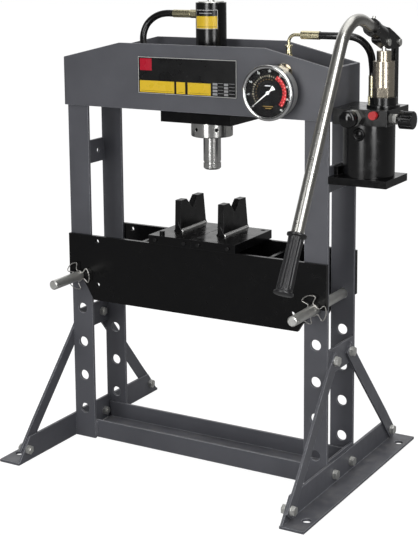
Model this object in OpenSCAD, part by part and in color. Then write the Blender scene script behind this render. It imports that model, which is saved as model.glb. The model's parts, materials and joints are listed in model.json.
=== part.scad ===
// Floor-standing hydraulic press: a welded frame with a pinned bed, a spring-return
// cylinder in the head, a pressure gauge and a hand pump with its lever at the side.
// X runs along the head, Y towards the back, Z up. The origin is on the floor, in the
// middle between the four uprights.

/* [Frame] */
// Distance between the centre lines of the left and right uprights
upright_pitch = 550; // [520:10:700]
// Width of each flat upright, seen from the front
upright_w = 50; // [44:1:60]
// Thickness of each upright
upright_t = 6; // [5:0.5:8]
// Depth of the frame over its front and rear uprights
frame_depth = 130; // [126:2:150]
// Height of the underside of the press head above the floor
head_z = 730; // [700:10:900]
// Length of each upright that stands inside the press head
upright_in_head = 70; // [40:1:90]
// Thickness of the tie plates that join a front upright to a rear one
tie_t = 5; // [4:0.5:6]
// Height of each tie plate
tie_h = 50; // [40:1:56]
// Gap between the floor and the lower tie plates
lower_tie_lift = 5; // [2:1:8]
// Height of the middle of the brace tie plates above the floor
brace_tie_z = 255; // [245:1:262]
// Distance from the underside of the head down to the middle of the upper tie plates
upper_tie_drop = 112; // [80:1:120]
// Leg of the angle-section rails at the foot of the frame
rail_leg = 39; // [30:1:45]
// Thickness of the rails
rail_t = 5; // [4:0.5:6]
// Gap between the floor and the rails
rail_lift = 2; // [1:0.5:6]
// Distance from the outer edge of an upright to the end of a rail
rail_inset = 11; // [8:1:20]

/* [Pin holes] */
// Diameter of the pin holes in the uprights
pin_hole_d = 22; // [21:0.5:26]
// Height of the lowest pin hole
pin_hole_z = 65; // [62:1:75]
// Vertical spacing of the pin holes
pin_step = 75; // [72:1:80]
// Number of pin holes in each upright
pin_holes = 5; // [5:1:6]
// Pin hole that carries the bed, counted from the floor
bed_hole = 5; // [4:1:5]

/* [Press head] */
// Height of the head at its two ends
head_end_h = 100; // [92:1:112]
// Height of the front plate in the middle
head_front_h = 134; // [128:1:150]
// Height of the rear plate in the middle
head_rear_h = 138; // [130:1:154]
// Length of the level top edge of the front plate
head_flat = 334; // [260:2:400]
// Thickness of the head plates
head_t = 5; // [4:0.5:7]
// How far each end of the head stands out past the uprights
head_over = 8; // [7:0.5:8]
// Outer radius of the folded corners of the front plate
head_fold_r = 7.5; // [6:0.5:8]
// Width of the plate that carries the cylinder
support_w = 161; // [120:1:200]
// Thickness of the plate that carries the cylinder
support_t = 22; // [14:1:30]
// How far that plate laps under the front and rear head plates
support_lap = 2.5; // [1:0.5:5]
// Width of the rating plate on the front of the head
label_w = 227; // [160:1:240]
// Height of the rating plate
label_h = 75; // [50:1:80]
// Thickness of the rating plate
label_t = 1; // [0.5:0.1:2]
// Sideways offset of the rating plate from the middle of the head
label_x = -6.5; // [-20:0.5:0]
// Height of the lower edge of the rating plate above the underside of the head
label_z = 33.5; // [10:0.5:40]

/* [Bed] */
// Height of the top edge of the bed plates above the pin axis
bed_rise = 90; // [80:1:110]
// Depth of the bed plates below the pin axis
bed_drop = 50; // [40:1:60]
// Thickness of the bed plates
bed_t = 8; // [6:0.5:12]
// How far the bed plates stand out past the uprights
bed_over = 1; // [0:0.5:1.5]
// Horizontal run of the slanted cut under each end of a bed plate
bed_slant = 30; // [15:1:50]
// Distance from the pin axis inwards to the start of the slanted cut
bed_ear_in = 5; // [2:1:12]
// Diameter of the four small holes in each bed plate
bed_eye_d = 9; // [5:0.5:14]
// Distance from the inner edge of an upright to the small holes
bed_eye_in = 21; // [14:1:40]
// Distance from the top edge of the bed to the upper small holes
bed_eye_top = 11; // [9:0.5:20]
// Distance from the bottom edge of the bed to the lower small holes
bed_eye_bottom = 34.5; // [20:0.5:40]
// Half the distance between the two cross plates of the bed
bed_cross_x = 150; // [115:1:190]
// Thickness of the cross plates
bed_cross_t = 8; // [5:0.5:12]
// Distance from the bottom edge of the bed to the cross plates
bed_cross_bottom = 20; // [5:1:40]
// Distance from the top edge of the bed to the cross plates
bed_cross_top = 14; // [5:1:30]
// Diameter of the bed pins
pin_d = 20; // [16:0.5:20.5]
// Length of a bed pin in front of the front bed plate
pin_front = 97; // [60:1:130]
// Length of a bed pin behind the rear bed plate
pin_rear = 17; // [8:1:40]
// Chamfer at both ends of a bed pin
pin_chamfer = 2; // [0.5:0.5:4]
// Diameter of the cross hole near the front end of a bed pin
pin_eye_d = 4; // [2:0.5:6]
// Diameter of the spring wire of the pin clips
clip_wire_d = 2.4; // [1.6:0.2:4]
// Reach of the three clip loops from the pin axis
clip_reach = 29; // [22:1:36]
// Distance of the pin clips in front of the bed
clip_gap = 7; // [3:1:20]

/* [Press plates and V blocks] */
// Width of each press plate
press_plate_w = 100; // [80:1:110]
// Length of each press plate from front to back
press_plate_l = 160; // [150:1:200]
// Thickness of the press plates
press_plate_t = 18; // [12:1:30]
// Gap between the two press plates
press_plate_gap = 1; // [0.5:0.5:5]
// Sideways offset of the pair of plates from the middle of the frame
press_plate_x = 3; // [0:0.5:5]
// Distance of the middle of the plates behind the middle of the bed
press_plate_y = 4; // [0:0.5:5]
// Diameter of the screws in the front edge of the plates
plate_screw_d = 8; // [5:0.5:10]
// Diameter of the corner holes in the plates
plate_hole_d = 10; // [6:0.5:13]
// Distance from the plate edges to the corner holes
plate_hole_in = 13; // [9:0.5:20]
// Thickness of the V blocks
v_block_t = 14; // [10:1:18]
// Height of the V blocks
v_block_h = 65; // [50:1:80]
// Length of a V block along its foot
v_block_l = 106; // [90:1:110]
// Distance from a plate's middle to the middle of its V block, sideways
v_block_x = -13.5; // [-20:0.5:20]
// Distance from a plate's middle to the middle of its V block, backwards
v_block_y = 29; // [10:1:29]
// Setback of the front end of a V block at its top
v_block_front = 3; // [0:0.5:8]
// Setback of the rear end of a V block at its top
v_block_rear = 10; // [0:0.5:14]
// Width of the V at the top edge
v_w = 46; // [20:1:56]
// Depth of the V
v_depth = 23; // [10:1:30]
// Distance of the V in front of the middle of the block's foot
v_front = 4; // [0:0.5:8]
// Size of the fillet along the foot of a V block
v_foot = 5; // [2:0.5:8]

/* [Feet and braces] */
// Half the length of a foot
foot_half_l = 272; // [262:1:320]
// Leg of the angle section of the feet
foot_leg = 50; // [48:1:60]
// Thickness of the feet
foot_t = 5; // [4:0.5:6]
// Length of the slanted ends of the upright leg of a foot
foot_slant = 40; // [20:1:44]
// Diameter of the floor holes
floor_hole_d = 18; // [10:0.5:20]
// Distance of the floor holes from the outer edge of the uprights
floor_hole_x = 34; // [22:0.5:38]
// Distance of the floor holes from the middle of the frame
floor_hole_y = 225; // [190:1:240]
// Width of the brace bars
brace_w = 27; // [24:1:32]
// Thickness of the brace bars
brace_t = 5; // [4:0.5:6]
// Length of bar past the bolt holes of a brace
brace_end = 13; // [11:0.5:13]
// Distance of the upper brace bolts from the middle of the frame
brace_top_y = 37; // [34:1:40]
// Distance of the lower brace bolts from the middle of the frame
brace_foot_y = 240; // [236:1:242]
// Height of the lower brace bolts
brace_foot_z = 25; // [25:0.5:27]
// Distance of the bolts between foot and tie plate from the middle of the frame
foot_bolt_y = 40; // [34:1:44]
// Height of the bolts between foot and tie plate
foot_bolt_z = 23; // [20:1:30]
// Thread diameter of the frame bolts
bolt_d = 10; // [6:1:10]

/* [Cylinder] */
// Sideways offset of the cylinder from the middle of the frame
cylinder_x = 11; // [0:0.5:14]
// Outer diameter of the cylinder barrel
barrel_d = 62; // [58:1:70]
// Bore of the cylinder barrel
barrel_bore = 48; // [46:0.5:50]
// Height of the barrel above the underside of the head
barrel_rise = 215; // [200:1:230]
// Diameter of the shoulder that rests on the support plate
shoulder_d = 74; // [72:1:80]
// Height of that shoulder
shoulder_h = 12; // [8:1:20]
// Thickness of the gland at the lower end of the barrel
gland_t = 18.5; // [12:0.5:30]
// Diameter of the ring nut under the support plate
ring_nut_d = 85; // [76:1:100]
// Height of the ring nut
ring_nut_h = 32.5; // [30:0.5:45]
// Diameter of the spanner holes in the ring nut
ring_nut_hole_d = 7.5; // [4:0.5:10]
// Diameter of the ram
ram_d = 36; // [30:0.5:38]
// Length of ram below the ring nut with the ram drawn in
ram_out = 68.5; // [50:0.5:80]
// Working stroke of the ram
ram_stroke = 130; // [60:1:130]
// Thickness of the piston at the upper end of the ram
piston_t = 22; // [12:1:26]
// Wire diameter of the return spring
spring_wire_d = 3.4; // [2.5:0.1:4]
// Number of turns of the return spring
spring_turns = 12; // [8:1:14]
// Height of the oil port above the underside of the head
port_z = 191; // [189:1:192]

/* [Gauge] */
// Distance of the gauge from the middle of the frame
gauge_x = 192; // [185:1:200]
// Height of the gauge centre above the underside of the head
gauge_z = 53; // [50:1:60]
// Outer diameter of the gauge bezel
gauge_d = 107; // [100:1:110]
// Depth of the gauge from front to back
gauge_depth = 32; // [28:1:40]
// Gap between the back of the gauge and the head
gauge_gap = 8; // [5:1:14]
// Distance of the gauge port from the middle of the frame
gauge_port_x = 207; // [200:1:212]
// Height of the gauge port above the underside of the head
gauge_port_z = 88; // [80:1:90]
// Diameter of the hole in the head round the gauge port
gauge_port_hole_d = 38; // [37:1:42]
// Angle of the needle at rest, below the horizontal to the left
needle_rest = 40; // [30:1:50]
// Length of the needle from its spindle to its tip
needle_l = 40; // [25:1:42]

/* [Hand pump] */
// Thickness of the plate that the pump stands on
pump_plate_t = 14; // [8:1:18]
// Length of that plate outwards from the frame
pump_plate_l = 117; // [112:1:130]
// Depth of that plate from front to back
pump_plate_w = 104; // [100:1:116]
// Distance of the pump's middle in front of the middle of the frame
pump_front = 15; // [12:1:16]
// Distance of the tank axis from the outer edge of the uprights
tank_x = 60; // [58:1:62]
// Outer diameter of the tank
tank_d = 98; // [90:1:100]
// Height of the tank
tank_h = 102; // [95:1:110]
// Wall of the tank
tank_wall = 3.5; // [2:0.5:6]
// Depth of the pump head block from front to back
pump_head_w = 106; // [104:1:110]
// Height of the pump head block
pump_head_h = 30; // [28:1:34]
// Gap between the press head and the pump head
pump_head_gap = 1; // [0.5:0.5:3]
// Distance of the pump barrel from the tank axis
pump_barrel_x = 28; // [24:1:30]
// Diameter of the pump barrel
pump_barrel_d = 40; // [36:1:44]
// Width across the flats of the pump barrel
pump_barrel_flats = 36; // [30:1:38]
// Height of the top of the pump barrel above the pump head
pump_barrel_h = 86; // [80:1:90]
// Height of the slimmer gland sleeve above the pump barrel
sleeve_h = 19; // [12:1:20]
// Diameter of the gland sleeve
sleeve_d = 27; // [24:0.5:32]
// Diameter of the plunger rod
plunger_d = 8.8; // [8:0.2:8.8]
// Distance of the release valve in front of the pump's middle
release_front = 20; // [14:1:26]
// Diameter of the release knob
release_knob_d = 34; // [26:1:36]
// Length of the release knob
release_knob_l = 26; // [20:1:32]
// Number of flutes round the release knob
release_flutes = 12; // [8:1:16]

/* [Pump lever] */
// Distance from the pump barrel back to the fulcrum link
link_back = 53.5; // [53:0.5:56]
// Distance between the two pivots of the fulcrum link
link_l = 129; // [128:0.5:134]
// Thickness of the fulcrum link
link_t = 9; // [7:0.5:10]
// Width of the fulcrum link
link_w = 16; // [12:0.5:16]
// Height of the lower link pivot from the top of the pump head
link_pivot_z = -12; // [-12.5:0.5:-10]
// Height of the plunger pivot above the fulcrum with the lever down
plunger_rise = 4; // [3:0.5:5]
// Diameter of the pivot pins
pivot_d = 8; // [6:0.5:9]
// Thickness of the two cheeks of the lever socket
cheek_t = 4.5; // [4:0.5:6]
// Outer diameter of the socket for the lever tube
socket_d = 30.5; // [28:0.5:32]
// Diameter of the lever tube
lever_d = 22; // [18:0.5:24]
// Wall of the lever tube
lever_wall = 2; // [1.5:0.5:4]
// Radius of the bend in the lever tube
lever_bend_r = 86; // [70:1:100]
// Angle through which the lever tube bends
lever_bend = 80.5; // [60:0.5:90]
// Straight length of lever tube between socket mouth and bend
lever_neck = 33; // [25:1:70]
// Straight length of lever tube below the bend
lever_arm = 443; // [300:1:500]
// Length of the rubber grip
grip_l = 106; // [80:1:140]
// Diameter of the ribs of the grip
grip_d = 29; // [26:0.5:34]

/* [Hoses] */
// Diameter of the hose to the cylinder
cylinder_hose_d = 14; // [8:0.5:14.5]
// Diameter of the hose from the pump
pump_hose_d = 14; // [9:0.5:14]
// Diameter of the crimped hose ends
hose_end_d = 16; // [15:0.5:18]
// Diameter of the steel feed pipe
feed_pipe_d = 6.5; // [4:0.5:8]

/* [Fits] */
// Gap round a seated round piece
seat_gap = 0.3; // [0.2:0.05:0.5]
// Radial clearance of sliding and turning fits
running_fit = 0.05; // [0.02:0.01:0.1]
// Radial clearance of bolts in their holes
bolt_fit = 0.35; // [0.15:0.05:0.6]
// Side clearance between link, plunger and cheeks
side_gap = 0.3; // [0.2:0.05:0.5]
// Radial play of the link's lower eye, which takes up its swing as the lever moves
eye_play = 1.5; // [1.3:0.1:2]

/* [Hidden] */
$fn = 48;
// Extra length of a cutting shape past the faces it cuts
cut = 1;

// Frame planes
side_x = upright_pitch / 2 + upright_w / 2;
inner_x = upright_pitch / 2 - upright_w / 2;
pin_x = upright_pitch / 2;
front_y = frame_depth / 2;
tie_y = front_y - upright_t;
upper_tie_z = head_z - upper_tie_drop;
bolt_hole_d = bolt_d - 0.2 + 2 * bolt_fit;
bolt_shank_d = bolt_d - 0.2;
bolt_flats = 1.7 * bolt_d;
bolt_head_h = 0.64 * bolt_d;
nut_h = 0.8 * bolt_d;
washer_t = 0.2 * bolt_d;
washer_d = 2 * bolt_d;
bolt_past_nut = 2;

// Head
head_x = side_x + head_over;
head_out_y = front_y + head_t;
head_slope = (head_front_h - head_end_h) / (head_x - head_flat / 2);
head_rear_flat = 2 * (head_x - (head_rear_h - head_end_h) / head_slope);

// Bed
pin_hole_top_z = pin_hole_z + (bed_hole - 1) * pin_step;
pin_z = pin_hole_top_z - (pin_hole_d - pin_d) / 2 + seat_gap;
bed_y = front_y + bed_t;
bed_top_z = pin_z + bed_rise;
bed_bottom_z = pin_z - bed_drop;
notch_r = pin_d / 2 + seat_gap;
clip_y = -bed_y - clip_gap;
clip_turn = 9;
plate_top_z = bed_top_z + press_plate_t;
plate_y0 = press_plate_y - press_plate_l / 2;
plate_y1 = press_plate_y + press_plate_l / 2;
plate_shift = (press_plate_w + press_plate_gap) / 2;
plate_screw_in = 16;
plate_screw_len = 12;
peg_d = 11;
peg_h = 9;

// Feet and braces
brace_drop = brace_tie_z - brace_foot_z;
brace_run = brace_foot_y - brace_top_y;
brace_l = norm([brace_run, brace_drop]);
brace_angle = atan2(brace_drop, brace_run);
brace_top_pad = 45;
brace_foot_pad = 57;

// Cylinder
ring_nut_z = head_z - support_t - ring_nut_h;
barrel_end_z = ring_nut_z + 2;
barrel_top_z = head_z + barrel_rise;
ram_tip_z = ring_nut_z - ram_out;
gland_z = barrel_end_z + gland_t;
port_d = 8;
port_face_depth = 1.5;
port_axis_z = head_z + port_z;
cap_seat_z = barrel_top_z - 12;
cap_d = barrel_bore + 4;
piston_top_z = port_axis_z - port_d / 2 - 4;
piston_z = piston_top_z - piston_t;
spring_coil_d = (ram_d + barrel_bore) / 2;

// Gauge
gauge_axis_z = head_z + gauge_z;
gauge_back_y = -head_out_y - gauge_gap;
gauge_front_y = gauge_back_y - gauge_depth;
bezel_depth = 9;
bezel_lip = 1.5;
bezel_lip_in = 7;
case_d = gauge_d - 7;
case_wall = 1.5;
case_back_t = 2;
glass_t = 2;
glass_y = gauge_front_y + bezel_lip;
case_front_y = glass_y;
dial_t = 1;
dial_y = gauge_front_y + 7;
movement_y = dial_y + dial_t;
movement_back_y = gauge_back_y - case_back_t;
spindle_d = 3;
needle_t = 1;
needle_y = dial_y - 2.5;
manifold_w = 36;
manifold_y0 = -front_y;
manifold_y1 = manifold_y0 + 41;
manifold_h = 34;
port_nut_flats = 30;
port_world_z = head_z + gauge_port_z;
manifold_z0 = port_world_z - 18;
manifold_z1 = manifold_z0 + manifold_h;
feed_x = gauge_port_x - 2;
feed_y = -42;
hose_port_z = manifold_z0 + 12;

// Pump
pump_y = -pump_front;
tank_axis_x = side_x + tank_x;
pump_plate_z = upper_tie_z + pump_plate_t / 2;
pump_end_x = side_x + pump_plate_l;
pump_head_x0 = head_x + pump_head_gap;
pump_head_z0 = pump_plate_z + tank_h;
pump_head_z1 = pump_head_z0 + pump_head_h;
pump_head_y0 = pump_y - pump_head_w / 2;
pump_head_y1 = pump_y + pump_head_w / 2;
lever_x = tank_axis_x + pump_barrel_x;
collar_flange_d = 62;
collar_flange_h = 5;
collar_d = 50;
collar_h = 19;
flats_h = 18;
barrel_top = pump_head_z1 + pump_barrel_h;
sleeve_top = barrel_top + sleeve_h;
link_y = pump_y + link_back;
link_pivot = [link_y, pump_head_z1 + link_pivot_z];
fulcrum = [link_y, link_pivot[1] + link_l];
plunger_pivot = [pump_y, fulcrum[1] + plunger_rise];
eye_d = 17;
link_eye_d = 16;
plunger_z0 = pump_head_z1 + 28;
plunger_well = 3;
cheek_gap = link_t + 2 * side_gap;
cheek_x = cheek_gap / 2;
lug_r = 10;
cheek_end_r = 8.8;
cheek_rise = 3;
release_y = pump_y - release_front;
release_z = pump_head_z0 + 11;
release_stem_d = 8;
release_nut_l = 7;
release_nut_flats = 17;
release_gap = 7;
relief_x = 351;
relief_z = pump_head_z0 + 14;
relief_nut_flats = 29;
relief_nut_l = 16;
relief_cap_d = 34;
relief_cap_l = 20;
valve_shank_d = 14;
valve_shank_l = 12;
filler_x = 391.5;
filler_z = pump_head_z1 - 9.5;
filler_d = 15.5;
filler_shank_d = 10;
filler_l = 9;
tank_plug_d = 24;
tank_plug_z = pump_head_z0 - 18;
tank_plug_proud = 2.5;

// Lever, in the plane of the pump axis and from the fulcrum: [backwards, upwards]
socket_tilt = 20;
socket_mouth = [-114.7, 36.7];
socket_bore_l = 42;
socket_ring_d = 33;
socket_ring_l = 11;
socket_l = 48;
grip_flange_d = 34;
grip_flange_t = 4;
grip_end_t = 4;
grip_ribs = 15;
lever_clamp_d = 6;
neck_dir = 180 - socket_tilt;
arm_dir = neck_dir + lever_bend;
neck_end = socket_mouth + lever_neck * [cos(neck_dir), sin(neck_dir)];
bend_centre = neck_end + lever_bend_r * [cos(neck_dir + 90), sin(neck_dir + 90)];
arm_start = bend_centre + lever_bend_r * [cos(arm_dir - 90), sin(arm_dir - 90)];

function above_head(route) = [for (p = route) [p[0], p[1], head_z + p[2]]];

// Hose routes, with heights above the head's lower edge
cylinder_hose_route = [
    [150, -42, 82], [120, -42, 82], [90, -42, 82], [60, -42, 82], [30, -43, 82],
    [0, -43, 82], [-30, -43, 82], [-60, -42, 82], [-82, -41, 84], [-103, -37, 90],
    [-120, -31, 101], [-133, -23, 116], [-142, -14, 133], [-145, -7, 150], [-140, -2, 167],
    [-127, 0, 180], [-110, 0, 188], [-93, 0, 191], [-76, 0, 191]
];
pump_hose_route = [
    [270, -42, 159], [289, -42, 159], [306, -41, 159], [321.5, -37, 159], [334.2, -31, 156.8],
    [344, -24, 151.5], [351, -15.5, 142.6], [354.8, -7, 132], [355.6, 1.5, 120.5], [354.3, 9, 109],
    [352.8, 15, 99], [351.8, 19, 91], [351.5, 20, 86], [351.5, 20, 81]
];
pump_hose_foot = [351.5, 20];
pump_hose_start = [232, 270];
pump_hose_level = head_z + 159;
cylinder_hose_path = above_head(cylinder_hose_route);
pump_hose_path = above_head(pump_hose_route);

// Colours
frame_grey = [0.36, 0.36, 0.38];
gloss_black = [0.07, 0.07, 0.08];
zinc = [0.72, 0.72, 0.70];
chrome = [0.85, 0.85, 0.86];
nickel = [0.78, 0.76, 0.72];
brass_steel = [0.72, 0.68, 0.50];
rubber_black = [0.05, 0.05, 0.05];
grip_grey = [0.22, 0.22, 0.23];
signal_red = [0.80, 0.12, 0.12];
glass_clear = [0.85, 0.90, 0.92, 0.3];

// ---------------- shapes

// A box between two X, two Y and two Z planes
module block(x, y, z) {
    translate([x[0], y[0], z[0]])
        cube([x[1] - x[0], y[1] - y[0], z[1] - z[0]]);
}

// A round bar along X between two planes
module rod_x(d, x, y, z) {
    translate([x[0], y, z])
        rotate([0, 90, 0])
            cylinder(d = d, h = x[1] - x[0]);
}

// A round bar along Y between two planes
module rod_y(d, x, y, z) {
    translate([x, y[0], z])
        rotate([-90, 0, 0])
            cylinder(d = d, h = y[1] - y[0]);
}

// A round bar along Z between two planes
module rod_z(d, x, y, z) {
    translate([x, y, z[0]])
        cylinder(d = d, h = z[1] - z[0]);
}

// A hexagonal bar along Z, with its width across the flats
module hex_bar(flats, h) {
    cylinder(d = flats / cos(30), h = h, $fn = 6);
}

// An outline in the X-Z plane, as a sheet between two Y planes
module sheet_xz(y) {
    translate([0, y[1], 0])
        rotate([90, 0, 0])
            linear_extrude(y[1] - y[0])
                children();
}

// An outline in the Y-Z plane, as a sheet between two X planes
module sheet_yz(x) {
    translate([x[0], 0, 0])
        rotate([90, 0, 90])
            linear_extrude(x[1] - x[0])
                children();
}

// The children, and their mirror image on the left
module both_sides() {
    children();
    mirror([1, 0, 0])
        children();
}

// The children at the front and at the rear
module both_ends() {
    children();
    mirror([0, 1, 0])
        children();
}

function unit(v) = v / norm(v);

// A round tube swept along points, or round a closed loop of points;
// across is a direction that the path never takes
module swept_tube(path, d, sides, across, closed = false) {
    rings = len(path);
    last = rings - 1;
    function dir(i) =
        closed
            ? unit(path[(i + 1) % rings] - path[(i + last) % rings])
            : unit(path[min(i + 1, last)] - path[max(i - 1, 0)]);
    points = [
        for (i = [0:last])
            let (t = dir(i), a = unit(cross(across, t)), b = cross(t, a))
                for (s = [0:sides - 1])
                    path[i] + d / 2 * (cos(360 * s / sides) * a + sin(360 * s / sides) * b)
    ];
    walls = [
        for (i = [0:closed ? last : last - 1])
            for (s = [0:sides - 1])
                let (n = (s + 1) % sides, r = i * sides, q = ((i + 1) % rings) * sides)
                    for (tri = [[r + s, q + s, q + n], [r + s, q + n, r + n]])
                        tri
    ];
    caps = [
        [for (s = [0:sides - 1]) s],
        [for (s = [sides - 1:-1:0]) last * sides + s]
    ];
    polyhedron(points = points, faces = closed ? walls : concat(walls, caps), convexity = 10);
}

// ---------------- frame

module upright_at(x, y0) {
    color(frame_grey)
        difference() {
            block([x - upright_w / 2, x + upright_w / 2], [y0, y0 + upright_t], [0, head_z + upright_in_head]);
            for (i = [0:pin_holes - 1])
                rod_y(pin_hole_d, x, [y0 - cut, y0 + upright_t + cut], pin_hole_z + i * pin_step);
        }
}

module upright_front_left() {
    upright_at(-pin_x, -front_y);
}

module upright_front_right() {
    upright_at(pin_x, -front_y);
}

module upright_rear_left() {
    upright_at(-pin_x, front_y - upright_t);
}

module upright_rear_right() {
    upright_at(pin_x, front_y - upright_t);
}

// Outline of a head plate: level in the middle, sloping to the ends
module head_outline(top_h, flat, half_l) {
    knee = flat / 2;
    end_h = top_h - (half_l - knee) * head_slope;
    polygon([
        [-half_l, 0],
        [half_l, 0],
        [half_l, end_h],
        [knee, top_h],
        [-knee, top_h],
        [-half_l, end_h]
    ]);
}

// The folded front plate seen from above: the front, two round folds, two end returns
module head_fold_outline() {
    inner_r = head_fold_r - head_t;
    difference() {
        union() {
            translate([-head_x, -head_out_y + head_fold_r])
                square([2 * head_x, head_out_y - head_fold_r + tie_y]);
            translate([-head_x + head_fold_r, -head_out_y])
                square([2 * (head_x - head_fold_r), head_fold_r + cut]);
            for (side = [-1, 1])
                translate([side * (head_x - head_fold_r), -head_out_y + head_fold_r])
                    circle(r = head_fold_r);
        }
        translate([-head_x + head_t, -head_out_y + head_fold_r])
            square([2 * (head_x - head_t), head_out_y - head_fold_r + tie_y + cut]);
        translate([-head_x + head_fold_r, -front_y])
            square([2 * (head_x - head_fold_r), head_fold_r]);
        for (side = [-1, 1])
            translate([side * (head_x - head_fold_r), -head_out_y + head_fold_r])
                circle(r = inner_r);
    }
}

module head_front_plate() {
    color(frame_grey)
        difference() {
            intersection() {
                translate([0, 0, head_z - cut])
                    linear_extrude(head_front_h + 2 * cut)
                        head_fold_outline();
                translate([0, 0, head_z])
                    sheet_xz([-head_out_y - cut, tie_y + cut])
                        head_outline(head_front_h, head_flat, head_x);
            }
            rod_y(gauge_port_hole_d, gauge_port_x, [-head_out_y - cut, -front_y + cut], port_world_z);
        }
}

module head_rear_plate() {
    color(frame_grey)
        translate([0, 0, head_z])
            sheet_xz([tie_y - head_t, tie_y])
                head_outline(head_rear_h, head_rear_flat, head_x - head_t);
}

module cylinder_support_plate() {
    color(gloss_black)
        difference() {
            block(
                [cylinder_x - support_w / 2, cylinder_x + support_w / 2],
                [-front_y - support_lap, tie_y + support_lap],
                [head_z - support_t, head_z]
            );
            rod_z(barrel_d + 2 * seat_gap, cylinder_x, 0, [head_z - support_t - cut, head_z + cut]);
        }
}

// A tie plate on the right side, between two uprights, with its two bolt holes
module tie_plate(z, hole_y, hole_z) {
    color(frame_grey)
        difference() {
            block([side_x - tie_t, side_x], [-tie_y, tie_y], [z - tie_h / 2, z + tie_h / 2]);
            both_ends()
                rod_x(bolt_hole_d, [side_x - tie_t - cut, side_x + cut], hole_y, hole_z);
        }
}

module upper_tie_plates() {
    both_sides()
        tie_plate(upper_tie_z, brace_top_y, upper_tie_z);
}

module brace_tie_plates() {
    both_sides()
        tie_plate(brace_tie_z, brace_top_y, brace_tie_z);
}

module lower_tie_plates() {
    both_sides()
        tie_plate(lower_tie_lift + tie_h / 2, foot_bolt_y, foot_bolt_z);
}

// Angle-section rail behind the front uprights, and its twin at the rear
module floor_rails() {
    rail_x = side_x - rail_inset;
    color(frame_grey)
        both_ends()
            union() {
                block([-rail_x, rail_x], [tie_y - rail_t, tie_y], [rail_lift, rail_lift + rail_leg]);
                block([-rail_x, rail_x], [tie_y - rail_leg, tie_y], [rail_lift, rail_lift + rail_t]);
            }
}

// ---------------- feet and braces

module foot_right() {
    color(frame_grey)
        difference() {
            union() {
                sheet_yz([side_x, side_x + foot_t])
                    polygon([
                        [-foot_half_l, 0],
                        [foot_half_l, 0],
                        [foot_half_l - foot_slant, foot_leg],
                        [-foot_half_l + foot_slant, foot_leg]
                    ]);
                block([side_x, side_x + foot_leg], [-foot_half_l, foot_half_l], [0, foot_t]);
            }
            both_ends() {
                rod_z(floor_hole_d, side_x + floor_hole_x, floor_hole_y, [-cut, foot_t + cut]);
                rod_x(bolt_hole_d, [side_x - cut, side_x + foot_t + cut], brace_foot_y, brace_foot_z);
                rod_x(bolt_hole_d, [side_x - cut, side_x + foot_t + cut], foot_bolt_y, foot_bolt_z);
            }
        }
}

module foot_left() {
    mirror([1, 0, 0])
        foot_right();
}

// Brace bar at the right rear, set outwards at its foot to lie on the foot's flange
module brace_bar() {
    slant_end = brace_l - brace_foot_pad;
    total = brace_l + brace_end;
    translate([side_x, brace_top_y, brace_tie_z])
        rotate([-brace_angle, 0, 0])
            rotate([180, 0, 90])
                translate([0, 0, -brace_w / 2])
                    linear_extrude(brace_w)
                        polygon([
                            [-brace_end, 0],
                            [brace_top_pad, 0],
                            [slant_end, foot_t],
                            [total, foot_t],
                            [total, foot_t + brace_t],
                            [slant_end, foot_t + brace_t],
                            [brace_top_pad, brace_t],
                            [-brace_end, brace_t]
                        ]);
}

module braces() {
    color(frame_grey)
        both_sides()
            both_ends()
                difference() {
                    brace_bar();
                    rod_x(bolt_hole_d, [side_x - cut, side_x + brace_t + cut], brace_top_y, brace_tie_z);
                    rod_x(
                        bolt_hole_d,
                        [side_x + foot_t - cut, side_x + foot_t + brace_t + cut],
                        brace_foot_y,
                        brace_foot_z
                    );
                }
}

// Each frame bolt on the right rear: [Y, Z, inner face X, outer face X]
frame_bolt_list = [
    [brace_top_y, brace_tie_z, side_x - tie_t, side_x + brace_t],
    [brace_foot_y, brace_foot_z, side_x, side_x + foot_t + brace_t],
    [foot_bolt_y, foot_bolt_z, side_x - tie_t, side_x + foot_t]
];

module frame_bolts() {
    color(zinc)
        both_sides()
            both_ends()
                for (b = frame_bolt_list) {
                    head_at = b[3] + washer_t;
                    rod_x(bolt_shank_d, [b[2] - nut_h - bolt_past_nut, head_at + cut], b[0], b[1]);
                    translate([head_at, b[0], b[1]])
                        rotate([0, 90, 0])
                            hex_bar(bolt_flats, bolt_head_h);
                }
}

module frame_nuts() {
    color(zinc)
        both_sides()
            both_ends()
                for (b = frame_bolt_list) {
                    difference() {
                        translate([b[2] - nut_h, b[0], b[1]])
                            rotate([0, 90, 0])
                                hex_bar(bolt_flats, nut_h);
                        rod_x(bolt_d, [b[2] - nut_h - cut, b[2] + cut], b[0], b[1]);
                    }
                    difference() {
                        rod_x(washer_d, [b[3], b[3] + washer_t], b[0], b[1]);
                        rod_x(bolt_hole_d, [b[3] - cut, b[3] + washer_t + cut], b[0], b[1]);
                    }
                }
}

// ---------------- bed

module bed_outline() {
    end_x = side_x + bed_over;
    ear_x = pin_x - bed_ear_in;
    difference() {
        polygon([
            [-end_x, bed_top_z],
            [-end_x, pin_z],
            [-ear_x, pin_z],
            [-ear_x + bed_slant, bed_bottom_z],
            [ear_x - bed_slant, bed_bottom_z],
            [ear_x, pin_z],
            [end_x, pin_z],
            [end_x, bed_top_z]
        ]);
        for (side = [-1, 1]) {
            translate([side * pin_x, pin_z])
                circle(r = notch_r);
            for (z = [bed_top_z - bed_eye_top, bed_bottom_z + bed_eye_bottom])
                translate([side * (inner_x - bed_eye_in), z])
                    circle(d = bed_eye_d);
        }
    }
}

module bed_front_plate() {
    color(gloss_black)
        sheet_xz([-bed_y, -front_y])
            bed_outline();
}

module bed_rear_plate() {
    color(gloss_black)
        sheet_xz([front_y, bed_y])
            bed_outline();
}

module bed_cross_plates() {
    color(gloss_black)
        both_sides()
            block(
                [bed_cross_x - bed_cross_t / 2, bed_cross_x + bed_cross_t / 2],
                [-front_y, front_y],
                [bed_bottom_z + bed_cross_bottom, bed_top_z - bed_cross_top]
            );
}

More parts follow.
